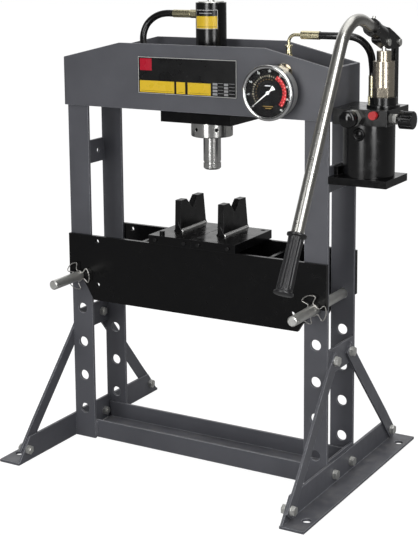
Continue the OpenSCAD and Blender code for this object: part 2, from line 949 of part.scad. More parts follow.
module bed_pins() {
    y0 = -bed_y - pin_front;
    y1 = bed_y + pin_rear;
    eye_y = y0 + 12;
    color(zinc)
        both_sides()
            difference() {
                translate([pin_x, y0, pin_z])
                    rotate([-90, 0, 0])
                        union() {
                            cylinder(d1 = pin_d - 2 * pin_chamfer, d2 = pin_d, h = pin_chamfer);
                            translate([0, 0, pin_chamfer])
                                cylinder(d = pin_d, h = y1 - y0 - 2 * pin_chamfer);
                            translate([0, 0, y1 - y0 - pin_chamfer])
                                cylinder(d1 = pin_d, d2 = pin_d - 2 * pin_chamfer, h = pin_chamfer);
                        }
                rod_x(pin_eye_d, [pin_x - pin_d, pin_x + pin_d], eye_y, pin_z);
            }
}

// Spring clip of one bent wire with three loops
module clip_wire() {
    hug_r = pin_d / 2 + seat_gap + clip_wire_d / 2;
    loops = 3;
    loop_flare = 17;
    steps = 72;
    // How far out the wire lies, from 0 at the pin to 1 at the tip of a loop
    function swing(u) = (1 + sin(90 * cos(u))) / 2;
    wire = [
        for (i = [0:steps - 1])
            let (
                u = 360 * loops * i / steps,
                a = u / loops + loop_flare * sin(2 * u),
                r = hug_r + (clip_reach - hug_r) * swing(u)
            )
                [r * cos(a), 0, r * sin(a)]
    ];
    swept_tube(wire, clip_wire_d, 6, [0, 1, 0], closed = true);
}

module pin_clips() {
    color(zinc)
        for (side = [-1, 1])
            translate([side * pin_x, clip_y, pin_z])
                rotate([0, side * clip_turn, 0])
                    clip_wire();
}

module press_plate(x) {
    x0 = x - press_plate_w / 2;
    x1 = x + press_plate_w / 2;
    color(gloss_black)
        difference() {
            block([x0, x1], [plate_y0, plate_y1], [bed_top_z, plate_top_z]);
            for (hx = [x0 + plate_hole_in, x1 - plate_hole_in])
                rod_z(plate_hole_d, hx, plate_y1 - plate_hole_in, [bed_top_z - cut, plate_top_z + cut]);
            for (sx = [x0 + plate_screw_in, x1 - plate_screw_in])
                rod_y(
                    plate_screw_d * 0.6 + 2 * bolt_fit,
                    sx,
                    [plate_y0 - cut, plate_y0 + plate_screw_len + cut],
                    bed_top_z + press_plate_t / 2
                );
        }
}

module press_plate_left() {
    peg_x = press_plate_x - plate_shift - 24;
    press_plate(press_plate_x - plate_shift);
    color(gloss_black)
        rod_z(peg_d, peg_x, plate_y0 + peg_d, [plate_top_z - cut, plate_top_z + peg_h]);
}

module press_plate_right() {
    press_plate(press_plate_x + plate_shift);
}

module plate_screws() {
    head_t_screw = 3;
    color(zinc)
        for (side = [-1, 1])
            for (edge = [-1, 1]) {
                x = press_plate_x + side * plate_shift + edge * (press_plate_w / 2 - plate_screw_in);
                z = bed_top_z + press_plate_t / 2;
                rod_y(plate_screw_d, x, [plate_y0 - head_t_screw, plate_y0], z);
                rod_y(plate_screw_d * 0.6, x, [plate_y0 - cut, plate_y0 + plate_screw_len], z);
            }
}

// V block standing on a press plate, with the V along X in its top edge
module v_block(plate_x) {
    x = plate_x + v_block_x;
    y = press_plate_y + v_block_y;
    v_y = -v_front;
    color(gloss_black)
        translate([x, y, plate_top_z])
            union() {
                sheet_yz([-v_block_t / 2, v_block_t / 2])
                    polygon([
                        [-v_block_l / 2, 0],
                        [v_block_l / 2, 0],
                        [v_block_l / 2 - v_block_rear, v_block_h],
                        [v_y + v_w / 2, v_block_h],
                        [v_y, v_block_h - v_depth],
                        [v_y - v_w / 2, v_block_h],
                        [-v_block_l / 2 + v_block_front, v_block_h]
                    ]);
                sheet_xz([-v_block_l / 2, v_block_l / 2])
                    polygon([
                        [-v_block_t / 2 - v_foot / 2, 0],
                        [v_block_t / 2 + v_foot / 2, 0],
                        [0, v_block_t + v_foot]
                    ]);
            }
}

module v_block_left() {
    v_block(press_plate_x - plate_shift);
}

module v_block_right() {
    v_block(press_plate_x + plate_shift);
}

// ---------------- cylinder

// Barrel with its gland, resting shoulder, oil port and seat for the cap
module cylinder_barrel() {
    port_face_x = -barrel_d / 2 + port_face_depth;
    color(gloss_black)
        translate([cylinder_x, 0, 0])
            difference() {
                union() {
                    rod_z(barrel_d, 0, 0, [barrel_end_z, barrel_top_z]);
                    rod_z(shoulder_d, 0, 0, [head_z, head_z + shoulder_h]);
                }
                rod_z(barrel_bore, 0, 0, [gland_z, barrel_top_z + cut]);
                rod_z(cap_d, 0, 0, [cap_seat_z, barrel_top_z + cut]);
                rod_z(ram_d + 2 * running_fit, 0, 0, [barrel_end_z - cut, gland_z + cut]);
                rod_x(port_d, [-barrel_d, 0], 0, port_axis_z);
                rod_x(hose_end_d + 4, [-barrel_d, port_face_x], 0, port_axis_z);
            }
}

module cylinder_cap() {
    knob_d = 14;
    rim_h = 2;
    knob_h = 9;
    color(chrome)
        translate([cylinder_x, 0, 0])
            union() {
                rod_z(cap_d - 2 * seat_gap, 0, 0, [cap_seat_z, barrel_top_z + rim_h]);
                rod_z(knob_d, 0, 0, [barrel_top_z, barrel_top_z + rim_h + knob_h]);
            }
}

module ring_nut() {
    chamfer = 1.5;
    hole_z = ring_nut_z + ring_nut_h / 2;
    spanner_holes = 6;
    color(chrome)
        translate([cylinder_x, 0, 0])
            difference() {
                union() {
                    rod_z(ring_nut_d, 0, 0, [ring_nut_z + chamfer, ring_nut_z + ring_nut_h]);
                    translate([0, 0, ring_nut_z])
                        cylinder(d1 = ring_nut_d - 2 * chamfer, d2 = ring_nut_d, h = chamfer);
                }
                rod_z(barrel_d + 2 * seat_gap, 0, 0, [ring_nut_z - cut, ring_nut_z + ring_nut_h + cut]);
                for (i = [0:spanner_holes - 1])
                    rotate([0, 0, 12 + i * 360 / spanner_holes])
                        rod_x(ring_nut_hole_d, [barrel_d / 2, ring_nut_d], 0, hole_z);
            }
}

// Ram with its piston, a groove above the tip and a chamfered nose
module ram() {
    nose = 3;
    groove_z = ram_tip_z + 14;
    groove_h = 3;
    groove_depth = 1.2;
    piston_d = barrel_bore - 2 * running_fit;
    color(chrome)
        translate([cylinder_x, 0, 0])
            difference() {
                union() {
                    translate([0, 0, ram_tip_z])
                        cylinder(d1 = ram_d - 2 * nose, d2 = ram_d, h = nose);
                    rod_z(ram_d, 0, 0, [ram_tip_z + nose, piston_z + cut]);
                    rod_z(piston_d, 0, 0, [piston_z, piston_top_z]);
                }
                difference() {
                    rod_z(ram_d + cut, 0, 0, [groove_z, groove_z + groove_h]);
                    rod_z(ram_d - 2 * groove_depth, 0, 0, [groove_z - cut, groove_z + groove_h + cut]);
                }
            }
}

// Compression spring between the gland and the piston, round the ram
module return_spring() {
    steps = 20;
    count = spring_turns * steps;
    low = gland_z + spring_wire_d / 2 + seat_gap;
    high = piston_z - spring_wire_d / 2 - seat_gap;
    r = spring_coil_d / 2;
    coil = [
        for (i = [0:count])
            let (a = 360 * i / steps, z = low + (high - low) * i / count)
                [cylinder_x + r * cos(a), r * sin(a), z]
    ];
    color(zinc)
        swept_tube(coil, spring_wire_d, 6, [0, 0, 1]);
}

// ---------------- gauge

module at_gauge() {
    translate([gauge_x, 0, gauge_axis_z])
        children();
}

module gauge_case() {
    color(nickel)
        at_gauge()
            difference() {
                rod_y(case_d, 0, [case_front_y, gauge_back_y], 0);
                rod_y(case_d - 2 * case_wall, 0, [case_front_y - cut, movement_back_y], 0);
            }
}

module gauge_bezel() {
    color(chrome)
        at_gauge()
            difference() {
                rod_y(gauge_d, 0, [gauge_front_y, gauge_front_y + bezel_depth], 0);
                rod_y(
                    case_d + 2 * running_fit,
                    0,
                    [gauge_front_y + bezel_lip, gauge_front_y + bezel_depth + cut],
                    0
                );
                rod_y(gauge_d - 2 * bezel_lip_in, 0, [gauge_front_y - cut, gauge_front_y + bezel_lip + cut], 0);
            }
}

module gauge_glass() {
    color(glass_clear)
        at_gauge()
            rod_y(case_d - 2 * case_wall - 2 * seat_gap, 0, [glass_y, glass_y + glass_t], 0);
}

module gauge_dial() {
    color(gloss_black)
        at_gauge()
            difference() {
                rod_y(case_d - 2 * case_wall - 2 * seat_gap, 0, [dial_y, dial_y + dial_t], 0);
                rod_y(spindle_d + 1, 0, [dial_y - cut, dial_y + dial_t + cut], 0);
            }
}

// Needle with its hub and its spindle; it points down to the left at rest
module gauge_needle() {
    hub_d = 8;
    tail_l = 17;
    tail_w = 8;
    spindle_l = 12;
    color("white")
        at_gauge()
            union() {
                rotate([0, 180 - needle_rest, 0])
                    sheet_xz([needle_y, needle_y + needle_t])
                        polygon([
                            [needle_l, 0],
                            [0, 1.8],
                            [-9, 1.4],
                            [-10, tail_w / 2],
                            [-tail_l, tail_w / 4],
                            [-tail_l, -tail_w / 4],
                            [-10, -tail_w / 2],
                            [-9, -1.4],
                            [0, -1.8]
                        ]);
                rod_y(hub_d, 0, [needle_y - 0.5, needle_y + needle_t + 1], 0);
                rod_y(spindle_d, 0, [needle_y, movement_y + spindle_l], 0);
            }
}

// Movement behind the dial: base block, spindle bearing and curved pressure tube
module gauge_movement() {
    block_w = 34;
    tube_d = 6;
    tube_r = 34;
    tube_y = (movement_y + movement_back_y) / 2;
    spindle_well = 14;
    color(nickel)
        at_gauge()
            difference() {
                union() {
                    block(
                        [-12, block_w - 12],
                        [movement_y, movement_back_y],
                        [-10, tube_r + tube_d / 2]
                    );
                    translate([0, tube_y, 0])
                        rotate([90, 0, 0])
                            rotate([0, 0, 100])
                                rotate_extrude(angle = 250)
                                    translate([tube_r, 0])
                                        circle(d = tube_d);
                }
                rod_y(spindle_d + 2 * running_fit, 0, [movement_y - cut, movement_y + spindle_well], 0);
            }
}

// Oil manifold behind the head plate, with the hexagonal port of the gauge
module gauge_manifold() {
    color(nickel)
        difference() {
            union() {
                block(
                    [gauge_port_x - manifold_w / 2, gauge_port_x + manifold_w / 2],
                    [manifold_y0, manifold_y1],
                    [manifold_z0, manifold_z1]
                );
                translate([gauge_port_x, manifold_y0 + cut, port_world_z])
                    rotate([90, 0, 0])
                        rotate([0, 0, 30])
                            hex_bar(port_nut_flats, head_t + gauge_gap + cut);
            }
            rod_x(port_d, [gauge_port_x - manifold_w, gauge_port_x], feed_y, hose_port_z);
            rod_z(port_d, feed_x, feed_y, [hose_port_z, manifold_z1 + cut]);
        }
}

module rating_plate() {
    color(gloss_black)
        block(
            [label_x - label_w / 2, label_x + label_w / 2],
            [-head_out_y - label_t, -head_out_y],
            [head_z + label_z, head_z + label_z + label_h]
        );
}

// ---------------- hoses

module cylinder_hose() {
    color(rubber_black)
        swept_tube(cylinder_hose_path, cylinder_hose_d, 10, [0, 1, 0]);
}

// Crimped ends and union nuts of the cylinder hose
module cylinder_hose_ends() {
    nut_l = 18;
    manifold_x = gauge_port_x - manifold_w / 2;
    manifold_end = cylinder_hose_path[0];
    barrel_end = cylinder_hose_path[len(cylinder_hose_path) - 1];
    port_face_x = cylinder_x - barrel_d / 2 + port_face_depth;
    nut_flats = hose_end_d - 1;
    color(brass_steel) {
        rod_x(hose_end_d, [manifold_end[0], manifold_x - nut_l + cut], feed_y, hose_port_z);
        translate([manifold_x - nut_l, feed_y, hose_port_z])
            rotate([0, 90, 0])
                hex_bar(nut_flats, nut_l);
        rod_x(hose_end_d, [barrel_end[0], port_face_x - nut_l + cut], 0, port_axis_z);
        translate([port_face_x - nut_l, 0, port_axis_z])
            rotate([0, 90, 0])
                hex_bar(nut_flats, nut_l);
    }
}

module pump_hose() {
    color(rubber_black)
        swept_tube(pump_hose_path, pump_hose_d, 10, [0, 1, 0]);
}

// Crimped ends of the pump hose: one on the feed pipe, one with a nut on the pump head
module pump_hose_ends() {
    nut_l = 14;
    foot_end = pump_hose_path[len(pump_hose_path) - 1];
    color(brass_steel) {
        rod_x(hose_end_d, pump_hose_start, feed_y, pump_hose_level);
        translate([pump_hose_foot[0], pump_hose_foot[1], pump_head_z1])
            hex_bar(hose_end_d + 1, nut_l);
        rod_z(hose_end_d, pump_hose_foot[0], pump_hose_foot[1], [pump_head_z1 + nut_l - cut, foot_end[2]]);
    }
}

// Bent steel pipe with its union nut on the manifold
module feed_pipe() {
    bend_r = 14;
    nut_top = manifold_z1 + 32;
    collar_top = nut_top + 3;
    color(brass_steel)
        union() {
            translate([feed_x, feed_y, manifold_z1])
                hex_bar(13, 18);
            translate([feed_x, feed_y, manifold_z1 + 17])
                cylinder(d1 = 12, d2 = 9.5, h = nut_top - manifold_z1 - 17);
            rod_z(15, feed_x, feed_y, [nut_top, collar_top]);
            rod_z(feed_pipe_d, feed_x, feed_y, [nut_top, pump_hose_level - bend_r]);
            translate([feed_x + bend_r, feed_y, pump_hose_level - bend_r])
                rotate([90, 0, 0])
                    rotate([0, 0, 90])
                        rotate_extrude(angle = 90)
                            translate([bend_r, 0])
                                circle(d = feed_pipe_d);
            rod_x(feed_pipe_d, [feed_x + bend_r, pump_hose_start[0]], feed_y, pump_hose_level);
        }
}

// ---------------- pump

module pump_plate() {
    lip_t = 8;
    lip_h = 16;
    lip_w = 50;
    color(gloss_black)
        union() {
            block(
                [side_x, pump_end_x],
                [pump_y - pump_plate_w / 2, pump_y + pump_plate_w / 2],
                [pump_plate_z - pump_plate_t, pump_plate_z]
            );
            block(
                [side_x, side_x + lip_t],
                [pump_y - lip_w / 2, pump_y + lip_w / 2],
                [pump_plate_z - cut, pump_plate_z + lip_h]
            );
        }
}

module pump_tank() {
    face_y = pump_y - tank_d / 2 + 1;
    floor_t = 5;
    color(gloss_black)
        difference() {
            rod_z(tank_d, tank_axis_x, pump_y, [pump_plate_z, pump_head_z0]);
            rod_z(tank_d - 2 * tank_wall, tank_axis_x, pump_y, [pump_plate_z + floor_t, pump_head_z0 + cut]);
            rod_y(tank_plug_d + 2 * seat_gap, tank_axis_x, [face_y - tank_d / 2, face_y], tank_plug_z);
            rod_y(tank_plug_d - 8, tank_axis_x, [face_y - cut, pump_y], tank_plug_z);
        }
}

module tank_plug() {
    face_y = pump_y - tank_d / 2 + 1;
    color(gloss_black)
        union() {
            rod_y(tank_plug_d, tank_axis_x, [face_y - 1 - tank_plug_proud, face_y], tank_plug_z);
            rod_y(
                tank_plug_d - 8 - 2 * seat_gap,
                tank_axis_x,
                [face_y - cut, face_y + tank_wall + 3],
                tank_plug_z
            );
        }
}

// Pump head block with its ports, the two lugs and the pressed-in pin of the fulcrum link
module pump_head() {
    lug_y1 = link_pivot[0] + lug_r;
    lug_y0 = pump_head_y1 - 8;
    lug_z0 = link_pivot[1] - 14;
    outer = cheek_x + cheek_t;
    release_x0 = lever_x + 6;
    color(gloss_black)
        difference() {
            union() {
                block([pump_head_x0, pump_end_x], [pump_head_y0, pump_head_y1], [pump_head_z0, pump_head_z1]);
                block([lever_x - outer, lever_x + outer], [lug_y0, lug_y1], [lug_z0, link_pivot[1]]);
                rod_x(2 * lug_r, [lever_x - outer, lever_x + outer], link_pivot[0], link_pivot[1]);
            }
            block(
                [lever_x - cheek_x, lever_x + cheek_x],
                [link_pivot[0] - lug_r - 1, lug_y1 + cut],
                [link_pivot[1] - lug_r - 2, pump_head_z1 + cut]
            );
            rod_z(plunger_d + 2 * running_fit, lever_x, pump_y, [plunger_z0 - 40, pump_head_z1 + cut]);
            rod_x(release_stem_d + 2 * running_fit, [release_x0, pump_end_x + cut], release_y, release_z);
            rod_y(
                valve_shank_d + 2 * seat_gap,
                relief_x,
                [pump_head_y0 - cut, pump_head_y0 + valve_shank_l + cut],
                relief_z
            );
            rod_y(
                filler_shank_d + 2 * seat_gap,
                filler_x,
                [pump_head_y0 - cut, pump_head_y0 + valve_shank_l + cut],
                filler_z
            );
        }
    color(zinc)
        rod_x(pivot_d, [lever_x - outer - 1, lever_x + outer + 1], link_pivot[0], link_pivot[1]);
}

module pump_collar() {
    color(gloss_black)
        difference() {
            union() {
                rod_z(collar_flange_d, lever_x, pump_y, [pump_head_z1, pump_head_z1 + collar_flange_h]);
                rod_z(collar_d, lever_x, pump_y, [pump_head_z1, pump_head_z1 + collar_h]);
            }
            rod_z(plunger_d + 4, lever_x, pump_y, [pump_head_z1 - cut, pump_head_z1 + collar_h + cut]);
        }
}

module pump_barrel() {
    z0 = pump_head_z1 + collar_h;
    color(nickel)
        translate([lever_x, pump_y, 0])
            difference() {
                union() {
                    intersection() {
                        translate([0, 0, z0])
                            rotate([0, 0, 17])
                                hex_bar(pump_barrel_flats, flats_h + 1);
                        rod_z(pump_barrel_d, 0, 0, [z0, z0 + flats_h + 1]);
                    }
                    rod_z(pump_barrel_d, 0, 0, [z0 + flats_h, barrel_top]);
                    rod_z(sleeve_d, 0, 0, [barrel_top, sleeve_top]);
                }
                rod_z(plunger_d + 2 * running_fit, 0, 0, [z0 - cut, sleeve_top + cut]);
            }
}

module pump_plunger() {
    color(nickel)
        translate([lever_x, 0, 0])
            difference() {
                union() {
                    rod_z(plunger_d, 0, pump_y, [plunger_z0, plunger_pivot[1]]);
                    rod_x(eye_d, [-link_t / 2, link_t / 2], plunger_pivot[0], plunger_pivot[1]);
                }
                rod_x(pivot_d + 2 * running_fit, [-link_t, link_t], plunger_pivot[0], plunger_pivot[1]);
            }
}

// Fulcrum link: a close fit on the lever's pin, with play on the pin in the lugs
module pump_link() {
    color(gloss_black)
        translate([lever_x, 0, 0])
            difference() {
                union() {
                    block(
                        [-link_t / 2, link_t / 2],
                        [link_y - link_w / 2, link_y + link_w / 2],
                        [link_pivot[1], fulcrum[1]]
                    );
                    rod_x(link_eye_d, [-link_t / 2, link_t / 2], link_pivot[0], link_pivot[1]);
                    rod_x(link_eye_d, [-link_t / 2, link_t / 2], fulcrum[0], fulcrum[1]);
                }
                rod_x(pivot_d + 2 * eye_play, [-link_t, link_t], link_pivot[0], link_pivot[1]);
                rod_x(pivot_d + 2 * running_fit, [-link_t, link_t], fulcrum[0], fulcrum[1]);
            }
}

// ---------------- lever

// Places the children at the fulcrum, with their X backwards and their Y upwards
module at_fulcrum() {
    translate([lever_x, fulcrum[0], fulcrum[1]])
        rotate([90, 0, 90])
            children();
}

// A round bar in the lever plane from a point, in a direction, over a span
module lever_rod(d, from, angle, span) {
    translate([from[0], from[1], 0])
        rotate([0, 0, angle])
            rotate([0, 90, 0])
                translate([0, 0, span[0]])
                    cylinder(d = d, h = span[1] - span[0]);
}

module cheek_outline() {
    pivot = plunger_pivot - fulcrum;
    nose = pivot[0] - 39;
    under = sleeve_top + cheek_rise - fulcrum[1];
    polygon(concat(
        [for (a = [60:-24:-84]) cheek_end_r * [cos(a), sin(a)]],
        [
            [pivot[0] + 6, under],
            [nose + 4, pivot[1] + 2],
            [nose, pivot[1] + 6],
            [nose, 30],
            [-77, 36.5],
            [-68, 33.8],
            [-50, 31],
            [-28, 22]
        ]
    ));
}

// Cast socket: a tube socket in front, two cheeks behind it, open between them from below
module lever_socket() {
    half = cheek_x + cheek_t;
    pivot = plunger_pivot - fulcrum;
    back = neck_dir + 180;
    color(gloss_black)
        at_fulcrum()
            difference() {
                union() {
                    translate([0, 0, -half])
                        linear_extrude(2 * half)
                            cheek_outline();
                    lever_rod(socket_d, socket_mouth, back, [0, socket_l]);
                    lever_rod(socket_ring_d, socket_mouth, back, [0, socket_ring_l]);
                }
                translate([pivot[0] - eye_d / 2 - 1.5, -40, -cheek_x])
                    cube([eye_d + 5, 40 + pivot[1] + eye_d / 2 + 1.5, cheek_gap]);
                translate([pivot[0], -40, -cheek_x])
                    cube([40 - pivot[0], 40 + link_eye_d / 2 + 1.5, cheek_gap]);
                lever_rod(lever_d + 2 * running_fit, socket_mouth, back, [-cut, socket_bore_l]);
                for (p = [[0, 0], pivot])
                    translate([p[0], p[1], -half - cut])
                        cylinder(d = pivot_d + 2 * running_fit, h = 2 * (half + cut));
            }
}

// Two pivot pins with heads, and the two clamp screws of the tube socket
module lever_pins() {
    half = cheek_x + cheek_t;
    pivot = plunger_pivot - fulcrum;
    head_d = pivot_d + 5;
    head_l = 2.5;
    back = neck_dir + 180;
    color(zinc)
        at_fulcrum() {
            for (p = [[0, 0], pivot])
                translate([p[0], p[1], 0])
                    union() {
                        translate([0, 0, -half - head_l])
                            cylinder(d = pivot_d, h = 2 * (half + head_l));
                        translate([0, 0, half])
                            cylinder(d = head_d, h = head_l);
                        translate([0, 0, -half - head_l])
                            cylinder(d = head_d, h = head_l);
                    }
            translate([socket_mouth[0], socket_mouth[1], 0])
                rotate([0, 0, back])
                    translate([socket_ring_l / 2, socket_ring_d / 2, 0])
                        rotate([-90, 0, 0])
                            cylinder(d = lever_clamp_d, h = 5);
        }
}

// The lever's path as a bar, each end lengthened by extra
module lever_bar(d, bend_d, extra) {
    lap = 1;
    translate([socket_mouth[0], socket_mouth[1], 0])
        rotate([0, 0, neck_dir]) {
            rotate([0, 90, 0])
                translate([0, 0, seat_gap - socket_bore_l - extra])
                    cylinder(d = d, h = lever_neck + lap + extra - seat_gap + socket_bore_l);
            translate([lever_neck, lever_bend_r, 0])
                rotate([0, 0, -90])
                    rotate_extrude(angle = lever_bend)
                        translate([lever_bend_r, 0])
                            circle(d = bend_d);
            translate([lever_neck, lever_bend_r, 0])
                rotate([0, 0, lever_bend])
                    translate([-lap, -lever_bend_r, 0])
                        rotate([0, 90, 0])
                            cylinder(d = d, h = lever_arm + lap + extra);
        }
}

// Lever tube: its wall thins a little where it is bent
module lever_tube() {
    bore = lever_d - 2 * lever_wall;
    thinning = 0.1;
    color(zinc)
        at_fulcrum()
            difference() {
                lever_bar(lever_d, lever_d - thinning, 0);
                lever_bar(bore, bore + thinning, cut);
            }
}

// Ribbed rubber grip over the end of the lever tube
module lever_grip() {
    grip_end = lever_arm + seat_gap + grip_end_t;
    grip_start = grip_end - grip_l;
    rib_pitch = (grip_l - 2 * grip_flange_t) / grip_ribs;
    color(grip_grey)
        at_fulcrum()
            difference() {
                union() {
                    lever_rod(grip_d - 2, arm_start, arm_dir, [grip_start, grip_end]);
                    for (at = [grip_start, grip_end - grip_flange_t])
                        lever_rod(grip_flange_d, arm_start, arm_dir, [at, at + grip_flange_t]);
                    for (i = [0:grip_ribs - 1])
                        lever_rod(
                            grip_d,
                            arm_start,
                            arm_dir,
                            [
                                grip_start + grip_flange_t + (i + 0.25) * rib_pitch,
                                grip_start + grip_flange_t + (i + 0.75) * rib_pitch
                            ]
                        );
                }
                lever_rod(lever_d + 2 * running_fit, arm_start, arm_dir, [grip_start - cut, lever_arm + seat_gap]);
            }
}

// ---------------- valves

// Hexagonal bodies of the release valve and of the relief valve
module valve_nuts() {
    color(zinc) {
        difference() {
            translate([pump_end_x, release_y, release_z])
                rotate([0, 90, 0])
                    hex_bar(release_nut_flats, release_nut_l);
            rod_x(
                release_stem_d + 2 * running_fit,
                [pump_end_x - cut, pump_end_x + release_nut_l + cut],
                release_y,
                release_z
            );
        }
        translate([relief_x, pump_head_y0, relief_z])
            rotate([90, 0, 0])
                hex_bar(relief_nut_flats, relief_nut_l);
        rod_y(valve_shank_d, relief_x, [pump_head_y0 - cut, pump_head_y0 + valve_shank_l], relief_z);
    }
}

// Fluted knob with its stem, which turns in the valve nut
module release_knob() {
    knob_x = pump_end_x + release_nut_l + release_gap;
    flute_d = 5;
    stem_x0 = lever_x + 8;
    chamfer = 1.5;
    color(rubber_black)
        translate([0, release_y, release_z])
            difference() {
                union() {
                    rod_x(release_stem_d, [stem_x0, knob_x + cut], 0, 0);
                    rod_x(release_knob_d, [knob_x, knob_x + release_knob_l - chamfer], 0, 0);
                    translate([knob_x + release_knob_l - chamfer, 0, 0])
                        rotate([0, 90, 0])
                            cylinder(d1 = release_knob_d, d2 = release_knob_d - 2 * chamfer, h = chamfer);
                }
                for (i = [0:release_flutes - 1])
                    rotate([i * 360 / release_flutes, 0, 0])
                        rod_x(
                            flute_d,
                            [knob_x + 5, knob_x + release_knob_l + cut],
                            0,
                            release_knob_d / 2 + 0.8
                        );
            }
}

module relief_cap() {
    y1 = pump_head_y0 - relief_nut_l;
    y0 = y1 - relief_cap_l;
    chamfer = 3;
    color(rubber_black)
        translate([relief_x, y1, relief_z])
            rotate([90, 0, 0])
                union() {
                    cylinder(d = relief_cap_d, h = relief_cap_l - chamfer);
                    translate([0, 0, relief_cap_l - chamfer])
                        cylinder(d1 = relief_cap_d, d2 = relief_cap_d - 2 * chamfer, h = chamfer);
                }
}

module filler_plug() {
    color(signal_red)
        union() {
            rod_y(filler_d, filler_x, [pump_head_y0 - filler_l, pump_head_y0], filler_z);
            rod_y(filler_shank_d, filler_x, [pump_head_y0 - cut, pump_head_y0 + valve_shank_l], filler_z);
        }
}

// ---------------- draw

upright_front_left();
upright_front_right();
upright_rear_left();
upright_rear_right();
head_front_plate();
head_rear_plate();
cylinder_support_plate();
upper_tie_plates();
brace_tie_plates();
lower_tie_plates();
floor_rails();
foot_left();
foot_right();
braces();
frame_bolts();
frame_nuts();
bed_front_plate();
bed_rear_plate();
bed_cross_plates();
bed_pins();
pin_clips();
press_plate_left();
press_plate_right();
v_block_left();
v_block_right();
plate_screws();
cylinder_barrel();
cylinder_cap();
ring_nut();
ram();
return_spring();
gauge_case();
gauge_bezel();
gauge_glass();
gauge_dial();
gauge_needle();
gauge_movement();
gauge_manifold();
rating_plate();
cylinder_hose();
cylinder_hose_ends();
pump_hose();
pump_hose_ends();
feed_pipe();
pump_plate();
pump_tank();
pump_head();
pump_collar();
pump_barrel();
pump_plunger();
pump_link();
lever_socket();
lever_tube();
lever_grip();
lever_pins();
valve_nuts();
release_knob();
relief_cap();
filler_plug();
tank_plug();
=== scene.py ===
"""Looks of a bench hydraulic press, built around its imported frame.

Every sub-assembly is a class that dresses its own solids and adds the pieces that
the finished machine shows in a finer form: hoses, weld beads, the return spring's
coil, the gauge's bezel, numbers and needle, the pump's plug and cap, the moulded
grip and the barrel's label. All lengths are metres in the frame of the model:
X along the head, Y towards the back, Z up.
"""

from __future__ import annotations

import json
import logging
import math
from abc import ABC, abstractmethod
from dataclasses import dataclass, field
from enum import Enum

import bpy
import numpy as np
from mathutils import Matrix, Vector

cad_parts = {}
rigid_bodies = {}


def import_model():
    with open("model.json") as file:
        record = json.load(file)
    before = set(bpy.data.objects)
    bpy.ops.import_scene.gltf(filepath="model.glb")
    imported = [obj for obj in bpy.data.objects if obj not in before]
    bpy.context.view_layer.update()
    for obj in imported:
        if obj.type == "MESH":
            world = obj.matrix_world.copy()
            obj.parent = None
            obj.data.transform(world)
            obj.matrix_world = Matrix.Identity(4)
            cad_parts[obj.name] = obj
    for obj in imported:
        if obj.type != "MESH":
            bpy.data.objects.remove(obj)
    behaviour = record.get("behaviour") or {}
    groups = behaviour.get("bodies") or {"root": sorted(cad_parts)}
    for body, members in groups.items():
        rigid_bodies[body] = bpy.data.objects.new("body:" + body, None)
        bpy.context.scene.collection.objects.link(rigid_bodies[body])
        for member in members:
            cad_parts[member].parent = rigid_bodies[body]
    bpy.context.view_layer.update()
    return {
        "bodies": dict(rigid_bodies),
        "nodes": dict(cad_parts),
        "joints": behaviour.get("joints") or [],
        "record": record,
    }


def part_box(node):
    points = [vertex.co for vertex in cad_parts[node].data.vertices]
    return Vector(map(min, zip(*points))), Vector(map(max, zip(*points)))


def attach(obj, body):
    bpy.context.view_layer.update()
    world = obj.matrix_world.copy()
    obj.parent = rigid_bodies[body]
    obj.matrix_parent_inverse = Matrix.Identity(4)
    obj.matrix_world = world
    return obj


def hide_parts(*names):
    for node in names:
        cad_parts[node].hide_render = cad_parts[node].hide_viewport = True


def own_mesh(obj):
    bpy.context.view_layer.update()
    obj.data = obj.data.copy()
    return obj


LOG = logging.getLogger("press")
MM = 0.001
FLOAT = "NodeSocketFloat"
VECTOR = "NodeSocketVector"
LEVER_DIRECTION = math.radians(240.5)
GAUGE_CENTRE = (0.192, 0.783)
DIAL_START = math.radians(220.0)
DIAL_SPAN = math.radians(269.0)
LOFT_SHARP = math.radians(38.0)
HOOP_SHARP = math.radians(50.0)
TURNED_STEPS = 64
HOOP_STEPS = 96
LAMP_HEIGHT = 1.3
Array = np.ndarray
Socket = bpy.types.NodeSocket
Colour = tuple[float, float, float]


class Slot(Enum):
    """Finishes of the press: the record's material slots, then two shown in place of a slot's own."""

    FRAME_PAINT = "frame_paint"
    BLACK_PAINT = "black_paint"
    CAST_BLACK = "cast_black"
    ZINC_STEEL = "zinc_steel"
    LEVER_STEEL = "lever_steel"
    TURNED_STEEL = "turned_steel"
    NICKEL = "nickel"
    YELLOW_ZINC = "yellow_zinc"
    SPRING_STEEL = "spring_steel"
    DIAL_BLACK = "dial_black"
    NEEDLE_WHITE = "needle_white"
    CLEAR_GLASS = "clear_glass"
    PLATE_FILM = "plate_film"
    HOSE_RUBBER = "hose_rubber"
    GRIP_RUBBER = "grip_rubber"
    KNOB_PLASTIC = "knob_plastic"
    RED_PLASTIC = "red_plastic"
    PUMP_ENAMEL = "pump_enamel"
    CHROME = "chrome"


class GrainPattern(Enum):
    """Ways in which a surface was worked, and so the way its fine marks run."""

    SPECKLED = "speckled"
    TURNED_UPRIGHT = "turned_upright"
    DRAWN_ALONG_LEVER = "drawn_along_lever"


def shade(red: float, green: float, blue: float) -> Colour:
    """Turns a screen colour into the linear one that a shader takes.

    Args:
        red: Red from 0 to 255.
        green: Green from 0 to 255.
        blue: Blue from 0 to 255.

    Returns:
        The three linear values from 0 to 1.
    """
    parts = np.array([red, green, blue]) / 255.0
    low = parts / 12.92
    high = ((parts + 0.055) / 1.055) ** 2.4
    return tuple(float(v) for v in np.where(parts <= 0.04045, low, high))


def brighter(colour: Colour, times: float) -> Colour:
    """A linear colour times a number, held at white."""
    return tuple(min(1.0, part * times) for part in colour)


@dataclass(frozen=True)
class Cloud:
    """Soft noise, with its values from low to high mapped onto those from start to end.

    The scale counts features in a metre, and the detail octaves of finer noise.
    """

    scale: float
    detail: float
    low: float
    high: float
    start: float = 0.0
    end: float = 1.0


